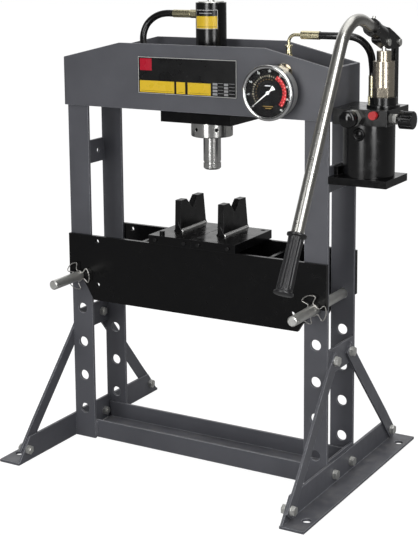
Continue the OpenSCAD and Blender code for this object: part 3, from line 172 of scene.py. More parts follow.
EDGE_PATCHES = Cloud(160.0, 3.0, 0.35, 0.65, 0.35)
DUST_AND_TOP_LIGHT_PATCHES = Cloud(45.0, 5.0, 0.38, 0.72)
MOTTLE = Cloud(9.0, 4.0, 0.3, 0.7)
SCUFFS = Cloud(60.0, 6.0, 0.3, 0.75, -0.06, 0.1)
TARNISH = Cloud(70.0, 5.0, 0.35, 0.7)
FILM_WEAR = Cloud(220.0, 5.0, 0.62, 0.8, 0.0, 0.25)
FILM_ROUGHNESS = Cloud(35.0, 4.0, 0.3, 0.7, 0.22, 0.36)
DIAL_SPECKS = Cloud(900.0, 2.0, 0.4, 0.62, 0.25)
EDGE_GAIN = 7.0
FACING_UP = (0.6, 0.98)
GRAIN_LAYERS = ((1.0, 2.0, 0.6), (4.3, 4.0, 0.4))


# ---------------------------------------------------------------------------
# Shader graphs
# ---------------------------------------------------------------------------


class Graph:
    """A node tree with short calls for adding nodes and joining them."""

    def __init__(self, tree: bpy.types.NodeTree) -> None:
        """Takes an empty node tree."""
        self.tree = tree

    def add(self, kind: str, **settings: object) -> bpy.types.Node:
        """Adds a node.

        Args:
            kind: Blender's name of the node type.
            **settings: Properties of the node.

        Returns:
            The new node.
        """
        node = self.tree.nodes.new(kind)
        for name, value in settings.items():
            setattr(node, name, value)
        return node

    def feed(self, target: Socket, value: object) -> None:
        """Joins a socket to an input, or sets the input's own value.

        Args:
            target: The input.
            value: A socket, or the input's own value.
        """
        if isinstance(value, Socket):
            self.tree.links.new(value, target)
        elif target.type == "RGBA":
            target.default_value = (*value[:3], 1.0)
        else:
            target.default_value = value

    def fill(self, node: bpy.types.Node, values: dict[str | int, object]) -> None:
        """Feeds inputs of a node by their names or numbers."""
        for name, value in values.items():
            self.feed(node.inputs[name], value)

    def math(self, operation: str, a: object, b: object = 0.0, clamp: bool = False) -> Socket:
        """Works out one sum on two values.

        Args:
            operation: Blender's name of the sum.
            a: First value or socket.
            b: Second value or socket.
            clamp: Whether the result is held between 0 and 1.

        Returns:
            The socket with the result.
        """
        node = self.add("ShaderNodeMath", operation=operation, use_clamp=clamp)
        self.fill(node, {0: a, 1: b})
        return node.outputs[0]

    def times(self, a: object, b: object, clamp: bool = False) -> Socket:
        """The product of two values."""
        return self.math("MULTIPLY", a, b, clamp)

    def plus(self, a: object, b: object, clamp: bool = False) -> Socket:
        """The sum of two values."""
        return self.math("ADD", a, b, clamp)

    def minus(self, a: object, b: object) -> Socket:
        """The first value less the second."""
        return self.math("SUBTRACT", a, b)

    def mix(self, factor: object, a: object, b: object) -> Socket:
        """Blends two colours by a factor.

        Args:
            factor: Share of the second colour.
            a: First colour.
            b: Second colour.

        Returns:
            The socket with the blend.
        """
        node = self.add("ShaderNodeMix", data_type="RGBA")
        self.fill(node, {0: factor, 6: a, 7: b})
        return node.outputs[2]

    def noise(self, vector: Socket, scale: object, detail: float = 3.0) -> Socket:
        """Soft noise from 0 to 1.

        Args:
            vector: Coordinates in metres.
            scale: Features in a metre, as a value or a socket.
            detail: Octaves of finer noise.

        Returns:
            The socket with the noise.
        """
        node = self.add("ShaderNodeTexNoise")
        self.fill(node, {"Vector": vector, "Scale": scale, "Detail": detail})
        return node.outputs[0]

    def ramp(self, value: Socket, low: float, high: float, start: float, end: float) -> Socket:
        """Maps a span of a value onto another span, held at its ends.

        Args:
            value: The value.
            low: Value that gives the start.
            high: Value that gives the end.
            start: Result at and below the low value.
            end: Result at and above the high value.

        Returns:
            The socket with the result.
        """
        node = self.add("ShaderNodeMapRange")
        self.fill(node, {"Value": value, "From Min": low, "From Max": high, "To Min": start, "To Max": end})
        return node.outputs["Result"]

    def cloud(self, cloud: Cloud) -> Socket:
        """Noise over the object coordinates, as a cloud describes it."""
        noise = self.noise(self.place(), cloud.scale, cloud.detail)
        return self.ramp(noise, cloud.low, cloud.high, cloud.start, cloud.end)

    def place(self) -> Socket:
        """Object coordinates, which are metres in the frame of the model."""
        return self.add("ShaderNodeTexCoord").outputs["Object"]

    def apart(self, vector: Socket) -> tuple[Socket, Socket, Socket]:
        """The three parts of a vector.

        Args:
            vector: The vector.

        Returns:
            Its X, Y and Z.
        """
        node = self.add("ShaderNodeSeparateXYZ")
        self.feed(node.inputs[0], vector)
        return node.outputs[0], node.outputs[1], node.outputs[2]

    def vector(self, x: object, y: object, z: object) -> Socket:
        """A vector from three parts.

        Args:
            x: Part along X.
            y: Part along Y.
            z: Part along Z.

        Returns:
            The socket with the vector.
        """
        node = self.add("ShaderNodeCombineXYZ")
        self.fill(node, {0: x, 1: y, 2: z})
        return node.outputs[0]

    def stretched(self, vector: Socket, turn: Colour, size: Colour) -> Socket:
        """Coordinates along turned axes, divided by a size along each of them.

        Args:
            vector: Coordinates in metres.
            turn: Turn of the axes in radians.
            size: Size along each turned axis.

        Returns:
            The socket with the new coordinates.
        """
        node = self.add("ShaderNodeMapping", vector_type="TEXTURE")
        self.fill(node, {"Vector": vector, "Rotation": turn, "Scale": size})
        return node.outputs[0]

    def use(self, group: bpy.types.NodeTree, **values: object) -> bpy.types.Node:
        """Places a node group and gives its inputs.

        Args:
            group: The node group.
            **values: Its inputs by name, with underscores for spaces.

        Returns:
            The group's node.
        """
        node = self.add("ShaderNodeGroup", node_tree=group)
        self.fill(node, {name.replace("_", " ").strip().title(): value for name, value in values.items()})
        return node

    def dot(self, a: object, b: object) -> Socket:
        """The dot product of two vectors.

        Args:
            a: First vector.
            b: Second vector.

        Returns:
            The socket with the product.
        """
        node = self.add("ShaderNodeVectorMath", operation="DOT_PRODUCT")
        self.fill(node, {0: a, 1: b})
        return node.outputs["Value"]


def fresh(owner: bpy.types.Material | bpy.types.World) -> Graph:
    """Turns on the nodes of a material or a world, and empties its tree.

    Args:
        owner: The material or world.

    Returns:
        The graph of its empty tree.
    """
    owner.use_nodes = True
    owner.node_tree.nodes.clear()
    return Graph(owner.node_tree)


def new_group(name: str, inputs: dict[str, str], outputs: dict[str, str]) -> tuple:
    """Makes an empty shader node group.

    Args:
        name: Name of the group.
        inputs: Socket type of each input by its name.
        outputs: Socket type of each output by its name.

    Returns:
        The graph of the group, its input node and its output node.
    """
    tree = bpy.data.node_groups.new(name, "ShaderNodeTree")
    for socket_name, kind in inputs.items():
        tree.interface.new_socket(socket_name, in_out="INPUT", socket_type=kind)
    for socket_name, kind in outputs.items():
        tree.interface.new_socket(socket_name, in_out="OUTPUT", socket_type=kind)
    graph = Graph(tree)
    return graph, graph.add("NodeGroupInput"), graph.add("NodeGroupOutput")


class Effects:
    """Shared effects: rounded edges, grain, dust with painted light from above, printed boxes and scale
    marks.
    """

    def __init__(self) -> None:
        """Builds each group once."""
        self.edges = self._edges()
        self.grain = self._grain()
        self.dust_and_top_light = self._dust_and_top_light()
        self.box = self._box()
        self.marks = self._marks()

    @staticmethod
    def _edges() -> bpy.types.NodeTree:
        """Rounds edges in the normal, and marks them: one less the product of both normals.

        Returns:
            The node group.
        """
        graph, given, out = new_group("Rounded edges", {"Radius": FLOAT}, {"Normal": VECTOR, "Mask": FLOAT})
        bevel = graph.add("ShaderNodeBevel", samples=6)
        graph.feed(bevel.inputs["Radius"], given.outputs["Radius"])
        flat = graph.add("ShaderNodeNewGeometry").outputs["Normal"]
        turned = graph.minus(1.0, graph.dot(bevel.outputs[0], flat))
        patchy = graph.cloud(EDGE_PATCHES)
        mask = graph.times(graph.times(turned, EDGE_GAIN), patchy, clamp=True)
        graph.feed(out.inputs["Normal"], bevel.outputs[0])
        graph.feed(out.inputs["Mask"], mask)
        return graph.tree

    @staticmethod
    def _grain() -> bpy.types.NodeTree:
        """Two sizes of noise added up, three parts coarse to two parts fine.

        Returns:
            The node group.
        """
        graph, given, out = new_group("Grain", {"Vector": VECTOR, "Scale": FLOAT}, {"Value": FLOAT})
        parts = []
        for times, detail, share in GRAIN_LAYERS:
            scale = graph.times(given.outputs["Scale"], times)
            layer = graph.noise(given.outputs["Vector"], scale, detail)
            parts.append(graph.times(layer, share))
        graph.feed(out.inputs["Value"], graph.plus(*parts))
        return graph.tree

    @staticmethod
    def _dust_and_top_light() -> bpy.types.NodeTree:
        """Lightens faces that look up, broken by noise: partly settled dust, partly painted light falling
        from above.

        Returns:
            The node group.
        """
        graph, given, out = new_group("Settled dust", {"Amount": FLOAT}, {"Mask": FLOAT})
        up = graph.apart(graph.add("ShaderNodeNewGeometry").outputs["Normal"])[2]
        facing = graph.ramp(up, *FACING_UP, 0.0, 1.0)
        broken = graph.cloud(DUST_AND_TOP_LIGHT_PATCHES)
        mask = graph.times(graph.times(facing, broken), given.outputs["Amount"])
        graph.feed(out.inputs["Mask"], mask)
        return graph.tree

    @staticmethod
    def _box() -> bpy.types.NodeTree:
        """One inside a rectangle and nought outside it, from its middle and half sizes.

        Returns:
            The node group.
        """
        names = ("Across", "Up", "Middle Across", "Middle Up", "Half Width", "Half Height")
        graph, given, out = new_group("Printed box", dict.fromkeys(names, FLOAT), {"Mask": FLOAT})
        inside = []
        for place, middle, half in (names[0::2], names[1::2]):
            away = graph.minus(given.outputs[place], given.outputs[middle])
            inside.append(graph.math("LESS_THAN", graph.math("ABSOLUTE", away), given.outputs[half]))
        graph.feed(out.inputs["Mask"], graph.times(*inside))
        return graph.tree

    @staticmethod
    def _marks() -> bpy.types.NodeTree:
        """Scale marks between two radii, where the sweep times the count is near a whole number.

        Returns:
            The node group.
        """
        names = ("Radius", "Sweep", "Span", "Count", "Inner", "Outer", "Half Width", "From", "To")
        graph, given, out = new_group("Scale marks", dict.fromkeys(names, FLOAT), {"Mask": FLOAT})
        value = given.outputs
        turns = graph.times(value["Sweep"], value["Count"])
        off = graph.math("ABSOLUTE", graph.minus(turns, graph.math("ROUND", turns)))
        step = graph.math("DIVIDE", value["Span"], value["Count"])
        arc = graph.times(graph.times(off, value["Radius"]), step)
        mask = graph.math("LESS_THAN", arc, value["Half Width"])
        for test, place, edge in (
            ("GREATER_THAN", "Radius", "Inner"),
            ("LESS_THAN", "Radius", "Outer"),
            ("GREATER_THAN", "Sweep", "From"),
            ("LESS_THAN", "Sweep", "To"),
        ):
            mask = graph.times(mask, graph.math(test, value[place], value[edge]))
        graph.feed(out.inputs["Mask"], mask)
        return graph.tree


# ---------------------------------------------------------------------------
# Finishes
# ---------------------------------------------------------------------------


WHITE = (1.0, 1.0, 1.0)
DUST_AND_TOP_LIGHT_GREY = shade(150, 148, 144)


@dataclass(frozen=True)
class Finish(ABC):
    """A finish of the press and the material that shows it."""

    slot: Slot

    def material(self, effects: Effects) -> bpy.types.Material:
        """Builds the material.

        Args:
            effects: The shared node groups.

        Returns:
            The material, named after its slot.
        """
        made = bpy.data.materials.new(self.slot.value)
        graph = fresh(made)
        shader = graph.add("ShaderNodeBsdfPrincipled")
        output = graph.add("ShaderNodeOutputMaterial")
        graph.feed(output.inputs["Surface"], self.surface(graph, shader, effects))
        return made

    @abstractmethod
    def surface(self, graph: Graph, shader: bpy.types.Node, effects: Effects) -> Socket:
        """Feeds the shader and returns the socket for the material's surface.

        Args:
            graph: Graph of the material.
            shader: Its Principled shader.
            effects: The shared node groups.

        Returns:
            The socket for the material's surface.
        """

    @staticmethod
    def rounded(graph: Graph, effects: Effects, height: Socket, strength: float, depth: float,
                radius: float) -> tuple[Socket, Socket]:
        """Rounds the edges and lays a bump over them.

        Args:
            graph: Graph of the material.
            effects: The shared node groups.
            height: Height of the bump from 0 to 1.
            strength: Strength of the bump.
            depth: Depth of the bump in metres.
            radius: Radius of the edges in metres.

        Returns:
            The normal, and the mask of the edges.
        """
        edges = graph.use(effects.edges, radius=radius)
        bump = graph.add("ShaderNodeBump")
        graph.fill(bump, {
            "Strength": strength, "Distance": depth, "Height": height, "Normal": edges.outputs["Normal"],
        })
        return bump.outputs[0], edges.outputs["Mask"]


@dataclass(frozen=True)
class Paint(Finish):
    """Powder coat or enamel with a fine orange peel, lighter along its edges: partly wear, partly a painted
    highlight where the edges catch the light.
    """

    colour: Colour
    # Colour of the lighter edges: partly wear, partly a painted highlight.
    edge: Colour
    roughness: float = 0.4
    specular: float = 0.5
    peel: float = 700.0
    peel_strength: float = 0.12
    peel_depth: float = 0.0004
    edge_wear_and_highlight: float = 0.35
    radius: float = 0.0009
    dust_and_top_light: float = 0.1
    mottle: float = 0.12

    def surface(self, graph: Graph, shader: bpy.types.Node, effects: Effects) -> Socket:
        """Mottles the colour, lightens edges with wear and a painted highlight, pales upward faces with dust
        and painted light from above, and peels the surface.

        Args:
            graph: Graph of the material.
            shader: Its Principled shader.
            effects: The shared node groups.

        Returns:
            The socket for the material's surface.
        """
        place = graph.place()
        peel = graph.use(effects.grain, vector=place, scale=self.peel).outputs["Value"]
        normal, mask = self.rounded(graph, effects, peel, self.peel_strength, self.peel_depth, self.radius)
        light = brighter(self.colour, 1.0 + self.mottle)
        dark = brighter(self.colour, 1.0 - self.mottle)
        coat = graph.mix(graph.cloud(MOTTLE), dark, light)
        # Lighter edges: partly wear, partly a painted highlight along the edges.
        worn = graph.mix(graph.times(mask, self.edge_wear_and_highlight), coat, self.edge)
        # Faces that look up turn paler: partly dust, partly painted light from above.
        dust_and_top_light = graph.use(effects.dust_and_top_light, amount=self.dust_and_top_light).outputs["Mask"]
        scuff = graph.cloud(SCUFFS)
        graph.fill(shader, {
            "Base Color": graph.mix(dust_and_top_light, worn, DUST_AND_TOP_LIGHT_GREY),
            "Roughness": graph.plus(graph.plus(scuff, self.roughness), dust_and_top_light, clamp=True),
            "Specular IOR Level": self.specular,
            "Normal": normal,
        })
        return shader.outputs[0]


@dataclass(frozen=True)
class Metal(Finish):
    """Bare or plated metal whose fine marks run as it was worked."""

    colour: Colour
    tarnish: Colour
    pattern: GrainPattern = GrainPattern.SPECKLED
    roughness: float = 0.3
    scale: float = 500.0
    bump: float = 0.12
    depth: float = 0.0003
    tarnish_share: float = 0.5
    edge_highlight: float = 1.2
    radius: float = 0.0005
    lines: tuple[float, float] = (0.38, 0.62)
    smoother: float = 0.01
    rougher: float = 0.03
    turned_spread: float = 0.02
    drawn_stretch: float = 45.0

    def marks(self, graph: Graph) -> Socket:
        """Coordinates that run with the marks of the pattern.

        Args:
            graph: Graph of the material.

        Returns:
            The socket with the coordinates.
        """
        place = graph.place()
        if self.pattern is GrainPattern.TURNED_UPRIGHT:
            across, back, up = graph.apart(place)
            slow = [graph.times(part, self.turned_spread) for part in (across, back)]
            return graph.vector(*slow, up)
        if self.pattern is GrainPattern.DRAWN_ALONG_LEVER:
            return graph.stretched(place, (LEVER_DIRECTION, 0.0, 0.0), (1.0, self.drawn_stretch, 1.0))
        return place

    def surface(self, graph: Graph, shader: bpy.types.Node, effects: Effects) -> Socket:
        """Tarnishes the metal in patches, cuts its fine marks and paints a highlight along its edges.

        Args:
            graph: Graph of the material.
            shader: Its Principled shader.
            effects: The shared node groups.

        Returns:
            The socket for the material's surface.
        """
        marks = self.marks(graph)
        grain = graph.use(effects.grain, vector=marks, scale=self.scale).outputs["Value"]
        normal, mask = self.rounded(graph, effects, grain, self.bump, self.depth, self.radius)
        patches = graph.cloud(TARNISH)
        lines = graph.ramp(grain, *self.lines, 0.0, 1.0)
        both = graph.times(graph.plus(patches, lines), 0.5 * self.tarnish_share)
        body = graph.mix(both, self.colour, self.tarnish)
        graph.fill(shader, {
            # Edges brighter in colour: a painted highlight along the edges.
            "Base Color": graph.mix(mask, body, brighter(self.colour, self.edge_highlight)),
            "Roughness": graph.ramp(
                patches, 0.0, 1.0, self.roughness - self.smoother, self.roughness + self.rougher
            ),
            "Metallic": 1.0,
            "Normal": normal,
        })
        return shader.outputs[0]


@dataclass(frozen=True)
class Rubber(Finish):
    """Black hose cover with the print of its wrapping, from the hose's own UV map."""

    colour: Colour
    pitch: float = 0.0021
    windings: float = 3.0
    fine_scale: float = 900.0
    wave_share: float = 1.2
    fine_share: float = 0.5
    bump: float = 0.2
    depth: float = 0.0004
    roughness: float = 0.38
    smoother: float = 0.05
    rougher: float = 0.1
    paler: float = 1.7

    def surface(self, graph: Graph, shader: bpy.types.Node, effects: Effects) -> Socket:
        """Runs a wrapped ripple along the hose: a wave of its length plus three turns around it.

        Args:
            graph: Graph of the material.
            shader: Its Principled shader.
            effects: The shared node groups.

        Returns:
            The socket for the material's surface.
        """
        uv = graph.add("ShaderNodeUVMap", uv_map="UVMap").outputs[0]
        around, along, _ = graph.apart(uv)
        turns = graph.plus(graph.math("DIVIDE", along, self.pitch), graph.times(around, self.windings))
        wave = graph.math("PINGPONG", turns, 0.5)
        fine = graph.use(effects.grain, vector=graph.place(), scale=self.fine_scale).outputs["Value"]
        height = graph.plus(graph.times(wave, self.wave_share), graph.times(fine, self.fine_share))
        bump = graph.add("ShaderNodeBump")
        graph.fill(bump, {"Strength": self.bump, "Distance": self.depth, "Height": height})
        cloud = graph.noise(graph.place(), 30.0, 4.0)
        graph.fill(shader, {
            "Base Color": graph.mix(cloud, self.colour, brighter(self.colour, self.paler)),
            "Roughness": graph.ramp(
                cloud, 0.3, 0.7, self.roughness - self.smoother, self.roughness + self.rougher
            ),
            "Normal": bump.outputs[0],
        })
        return shader.outputs[0]


@dataclass(frozen=True)
class Glass(Finish):
    """Clear gauge window that lets the lamps through to the dial."""

    tint: Colour = (0.97, 0.98, 0.98)
    wipe_scale: float = 60.0
    wiped_roughness: float = 0.04
    ior: float = 1.15

    def surface(self, graph: Graph, shader: bpy.types.Node, effects: Effects) -> Socket:
        """Keeps faint wipe marks in the roughness, and is clear to shadow rays.

        Args:
            graph: Graph of the material.
            shader: Its Principled shader.
            effects: The shared node groups.

        Returns:
            The socket for the material's surface.
        """
        wiped = graph.use(effects.grain, vector=graph.place(), scale=self.wipe_scale).outputs["Value"]
        graph.fill(shader, {
            "Base Color": graph.mix(wiped, self.tint, WHITE),
            "Roughness": graph.ramp(wiped, 0.4, 0.8, 0.0, self.wiped_roughness),
            "Transmission Weight": 1.0,
            "IOR": self.ior,
        })
        clear = graph.add("ShaderNodeBsdfTransparent")
        blend = graph.add("ShaderNodeMixShader")
        shadow_ray = graph.add("ShaderNodeLightPath").outputs["Is Shadow Ray"]
        graph.fill(blend, {0: shadow_ray, 1: shader.outputs[0], 2: clear.outputs[0]})
        return blend.outputs[0]


@dataclass(frozen=True)
class PrintedBox:
    """A printed rectangle in millimetres on a flat plate, and its colour."""

    left: float
    right: float
    low: float
    high: float
    colour: Colour

    def over(self, graph: Graph, effects: Effects, across: Socket, up: Socket, under: object,
             share: object = 1.0) -> Socket:
        """Prints this rectangle over a colour.

        Args:
            graph: Graph of the material.
            effects: The shared node groups.
            across: Coordinate across the plate in metres.
            up: Coordinate up the plate in metres.
            under: The colour beneath.
            share: How much ink covers the colour beneath.

        Returns:
            The colour with the rectangle on it.
        """
        box = graph.use(
            effects.box,
            across=across,
            up=up,
            middle_across=(self.left + self.right) / 2 * MM,
            middle_up=(self.low + self.high) / 2 * MM,
            half_width=(self.right - self.left) / 2 * MM,
            half_height=(self.high - self.low) / 2 * MM,
        )
        return graph.mix(graph.times(box.outputs["Mask"], share), under, self.colour)


INK_BLACK = shade(20, 20, 21)
INK_WHITE = shade(214, 214, 212)
INK_YELLOW = shade(246, 206, 52)
INK_RED = shade(196, 28, 52)
INK_GREY = shade(168, 168, 170)


@dataclass(frozen=True)
class PrintedFilm(Finish):
    """A glossy printed film: coloured fields on black inside a thin pale line."""

    boxes: tuple[PrintedBox, ...]
    worn: Colour = shade(90, 90, 92)
    specular: float = 0.35
    wrap_x: float = 0.0
    wrap_radius: float = 0.0

    def surface(self, graph: Graph, shader: bpy.types.Node, effects: Effects) -> Socket:
        """Prints the rectangles in order, over flat or wrapped coordinates.

        Args:
            graph: Graph of the material.
            shader: Its Principled shader.
            effects: The shared node groups.

        Returns:
            The socket for the material's surface.
        """
        across, back, up = graph.apart(graph.place())
        if self.wrap_radius:
            turn = graph.math(
                "ARCTAN2", graph.minus(across, self.wrap_x), graph.times(back, -1.0)
            )
            across = graph.times(turn, self.wrap_radius)
        colour: object = INK_BLACK
        for box in self.boxes:
            colour = box.over(graph, effects, across, up, colour)
        worn = graph.cloud(FILM_WEAR)
        graph.fill(shader, {
            "Base Color": graph.mix(worn, colour, self.worn),
            "Roughness": graph.cloud(FILM_ROUGHNESS),
            "Specular IOR Level": self.specular,
        })
        return shader.outputs[0]


@dataclass(frozen=True)
class ScaleBand:
    """Evenly spaced marks between two radii, over a part of the dial's sweep."""

    count: float
    inner: float
    outer: float
    half_width: float
    begin: float
    end: float
    colour: Colour

    def over(self, graph: Graph, effects: Effects, radius: Socket, sweep: Socket, under: object,
             share: object = 1.0) -> Socket:
        """Prints the marks over a colour.

        Args:
            graph: Graph of the material.
            effects: The shared node groups.
            radius: Distance from the dial's middle in metres.
            sweep: Share of the dial's sweep.
            under: The colour beneath.
            share: How much ink covers the colour beneath.

        Returns:
            The colour with the marks on it.
        """
        marks = graph.use(
            effects.marks, radius=radius, sweep=sweep, span=DIAL_SPAN, count=self.count,
            inner=self.inner, outer=self.outer, half_width=self.half_width, from_=self.begin, to=self.end,
        )
        return graph.mix(graph.times(marks.outputs["Mask"], share), under, self.colour)


@dataclass(frozen=True)
class DialPrint(Finish):
    """Printed dial: a pale outer scale, a yellow inner one and a red danger arc."""

    ground: Colour = shade(12, 12, 13)
    pale: Colour = shade(204, 206, 206)
    cream: Colour = shade(164, 158, 138)
    yellow: Colour = shade(140, 114, 60)
    red: Colour = shade(214, 56, 58)
    red_joint: Colour = shade(22, 14, 14)
    red_mark: Colour = shade(236, 170, 168)
    roughness: tuple[float, float] = (0.42, 0.55)
    specular: float = 0.08
    before: float = -0.01
    red_from: float = 0.595
    red_to: float = 0.975
    after: float = 1.005

    def bands(self) -> tuple[ScaleBand, ...]:
        """The scales in the order of printing, the red arc first.

        Returns:
            The bands in the order of printing.
        """
        return (
            ScaleBand(80.0, 0.0302, 0.0384, 0.9, self.red_from, self.red_to, self.red),
            ScaleBand(24.0, 0.0300, 0.0334, 0.0009, self.red_from, self.red_to, self.red_joint),
            ScaleBand(24.0, 0.0356, 0.0368, 0.0012, self.red_from, self.red_to, self.red_mark),
            ScaleBand(32.0, 0.0308, 0.0334, 0.0006, self.before, self.red_from, self.cream),
            ScaleBand(8.0, 0.0300, 0.0346, 0.0008, self.before, self.red_from, self.cream),
            ScaleBand(20.0, 0.0250, 0.0266, 0.0006, self.before, self.red_from, self.yellow),
            ScaleBand(8.0, 0.0438, 0.0460, 0.0006, self.before, self.after, self.pale),
        )

    def lines(self) -> tuple[PrintedBox, ...]:
        """The short printed lines over and under the middle.

        Returns:
            The lines in the order of printing.
        """
        x, z = (place / MM for place in GAUGE_CENTRE)
        return (
            PrintedBox(x - 7.0, x + 5.0, z + 12.6, z + 14.2, self.pale),
            PrintedBox(x - 11.0, x + 10.0, z - 26.4, z - 25.2, self.yellow),
            PrintedBox(x - 6.5, x + 6.5, z - 30.0, z - 28.8, self.yellow),
        )

    def surface(self, graph: Graph, shader: bpy.types.Node, effects: Effects) -> Socket:
        """Prints the scales in the radius and the share of the sweep, which runs clockwise.

        Args:
            graph: Graph of the material.
            shader: Its Principled shader.
            effects: The shared node groups.

        Returns:
            The socket for the material's surface.
        """
        across, _, up = graph.apart(graph.place())
        right, rise = (
            graph.minus(part, middle) for part, middle in zip((across, up), GAUGE_CENTRE)
        )
        squares = (graph.math("POWER", part, 2.0) for part in (right, rise))
        radius = graph.math("SQRT", graph.plus(*squares))
        angle = graph.minus(DIAL_START, graph.math("ARCTAN2", rise, right))
        turned = graph.math("MODULO", graph.plus(angle, math.tau), math.tau)
        sweep = graph.math("DIVIDE", turned, DIAL_SPAN)
        speck = graph.cloud(DIAL_SPECKS)
        colour: object = self.ground
        for band in self.bands():
            share = speck if band.colour == self.red else 1.0
            colour = band.over(graph, effects, radius, sweep, colour, share)
        for line in self.lines():
            colour = line.over(graph, effects, across, up, colour)
        graph.fill(shader, {
            "Base Color": colour,
            "Roughness": graph.ramp(speck, DIAL_SPECKS.start, 1.0, *self.roughness),
            "Specular IOR Level": self.specular,
        })
        return shader.outputs[0]


def label_boxes() -> tuple[PrintedBox, ...]:
    """The barrel's wrapped label: a dark band over a yellow field, with a pale edge.

    Returns:
        The rectangles in the order of printing.
    """
    return (
        PrintedBox(-26.0, 26.0, 893.6, 931.4, INK_WHITE),
        PrintedBox(-25.0, 25.0, 894.6, 930.4, INK_BLACK),
        PrintedBox(-25.0, 25.0, 894.6, 919.0, INK_YELLOW),
        PrintedBox(-14.0, 14.0, 923.8, 925.6, INK_GREY),
        PrintedBox(-22.0, 22.0, 897.6, 898.2, INK_BLACK),
    )


def plate_boxes() -> tuple[PrintedBox, ...]:
    """The head's long plate: a pale line, a red square, three yellow fields and a grey table.

    Returns:
        The rectangles in the order of printing.
    """
    boxes = [
        PrintedBox(-119.4, 106.4, 764.1, 837.9, INK_WHITE),
        PrintedBox(-118.3, 105.3, 765.2, 836.8, INK_BLACK),
        PrintedBox(-115.0, -87.0, 810.6, 834.7, INK_RED),
    ]
    for left, right in ((-116.0, -34.6), (-29.7, -9.5), (-3.5, 49.0)):
        boxes.append(PrintedBox(left, right, 766.6, 790.2, INK_YELLOW))
        boxes.append(PrintedBox(left + 4.0, right - 4.0, 769.4, 769.9, INK_BLACK))
    cells = ((53.5, 64.0, 0.0), (65.4, 77.5, 3.9), (79.0, 88.0, 0.0), (89.4, 102.5, 3.9))
    for row in range(4):
        low = 767.6 + 6.6 * row
        for left, right, lift in cells:
            boxes.append(PrintedBox(left, right, low + lift, low + 4.6, INK_GREY))
    return tuple(boxes)


FINISHES: tuple[Finish, ...] = (
    # Frame paint: its lighter edges and pale upward faces are partly painted highlight and painted light
    # from above.
    Paint(
        Slot.FRAME_PAINT, shade(90, 91, 97), shade(186, 188, 194),
        roughness=0.4, specular=0.45, peel_strength=0.08, edge_wear_and_highlight=0.75, radius=0.0016, dust_and_top_light=0.25,
    ),
    Paint(
        Slot.BLACK_PAINT, shade(13, 13, 14), shade(92, 92, 94),
        roughness=0.2, specular=0.22, peel=900.0, peel_strength=0.03, dust_and_top_light=0.03,
    ),
    Paint(
        Slot.PUMP_ENAMEL, shade(7, 7, 8), shade(84, 84, 86),
        roughness=0.2, specular=0.6, peel=900.0, peel_strength=0.02, radius=0.0012, dust_and_top_light=0.02,
    ),
    Paint(
        Slot.CAST_BLACK, shade(12, 12, 13), shade(92, 92, 94),
        roughness=0.3, specular=0.35, peel=420.0, peel_strength=0.22, radius=0.0014, dust_and_top_light=0.03,
    ),
    Metal(
        Slot.ZINC_STEEL, shade(226, 226, 222), shade(168, 168, 164),
        roughness=0.46, scale=900.0, bump=0.04, tarnish_share=0.4,
    ),
    Metal(
        Slot.LEVER_STEEL, shade(188, 187, 182), shade(148, 146, 141),
        pattern=GrainPattern.DRAWN_ALONG_LEVER, roughness=0.28, scale=900.0, bump=0.006, tarnish_share=0.25,
    ),
    Metal(
        Slot.TURNED_STEEL, shade(222, 222, 220), shade(160, 158, 154),
        pattern=GrainPattern.TURNED_UPRIGHT, roughness=0.18, scale=900.0, bump=0.02, tarnish_share=0.35,
    ),
    Metal(
        Slot.NICKEL, shade(212, 202, 184), shade(146, 136, 118),
        pattern=GrainPattern.TURNED_UPRIGHT, roughness=0.26, scale=900.0, bump=0.006, tarnish_share=0.25,
    ),
    Metal(
        Slot.YELLOW_ZINC, shade(212, 204, 170), shade(164, 154, 122),
        roughness=0.26, bump=0.006, tarnish_share=0.2,
    ),
    Metal(Slot.SPRING_STEEL, shade(206, 204, 200), shade(140, 138, 134), roughness=0.28, bump=0.03),
    Metal(
        Slot.CHROME, shade(216, 216, 215), shade(150, 150, 150),
        roughness=0.12, scale=1200.0, bump=0.015, tarnish_share=0.25,
    ),
    DialPrint(Slot.DIAL_BLACK),
    Paint(
        Slot.NEEDLE_WHITE, shade(232, 232, 230), shade(242, 242, 242),
        roughness=0.4, radius=0.0002, dust_and_top_light=0.0, mottle=0.03,
    ),
    Glass(Slot.CLEAR_GLASS),
    PrintedFilm(Slot.PLATE_FILM, plate_boxes()),
    Rubber(Slot.HOSE_RUBBER, shade(15, 15, 16), roughness=0.2),
    Paint(
        Slot.GRIP_RUBBER, shade(34, 34, 36), shade(84, 80, 76),
        roughness=0.34, specular=0.4, peel=1100.0, peel_strength=0.12, edge_wear_and_highlight=0.25, dust_and_top_light=0.02,
    ),
    Paint(
        Slot.KNOB_PLASTIC, shade(14, 14, 15), shade(70, 70, 72),
        roughness=0.14, specular=0.5, peel=1500.0, peel_strength=0.02, radius=0.0009, dust_and_top_light=0.02,
    ),
    Paint(
        Slot.RED_PLASTIC, shade(204, 44, 48), shade(238, 120, 120),
        roughness=0.34, specular=0.35, peel=1300.0, peel_strength=0.05, dust_and_top_light=0.0, mottle=0.06,
    ),
)


# ---------------------------------------------------------------------------
# Surfaces
# ---------------------------------------------------------------------------


def stand(name: str, points: Array, faces: list, sharp: float | None = None) -> bpy.types.Object:
    """Makes a mesh object and links it to the scene.

    Args:
        name: Name of the object and of its mesh.
        points: Rows of X, Y and Z in metres.
        faces: Corners of each face.
        sharp: Angle from which an edge stays sharp, or None for flat faces.

    Returns:
        The new object.
    """
    mesh = bpy.data.meshes.new(name)
    mesh.from_pydata(points.tolist(), [], faces)
    if sharp is not None:
        mesh.polygons.foreach_set("use_smooth", np.ones(len(mesh.polygons), bool))
        mesh.set_sharp_from_angle(angle=sharp)
    mesh.update()
    made = bpy.data.objects.new(name, mesh)
    bpy.context.scene.collection.objects.link(made)
    return made


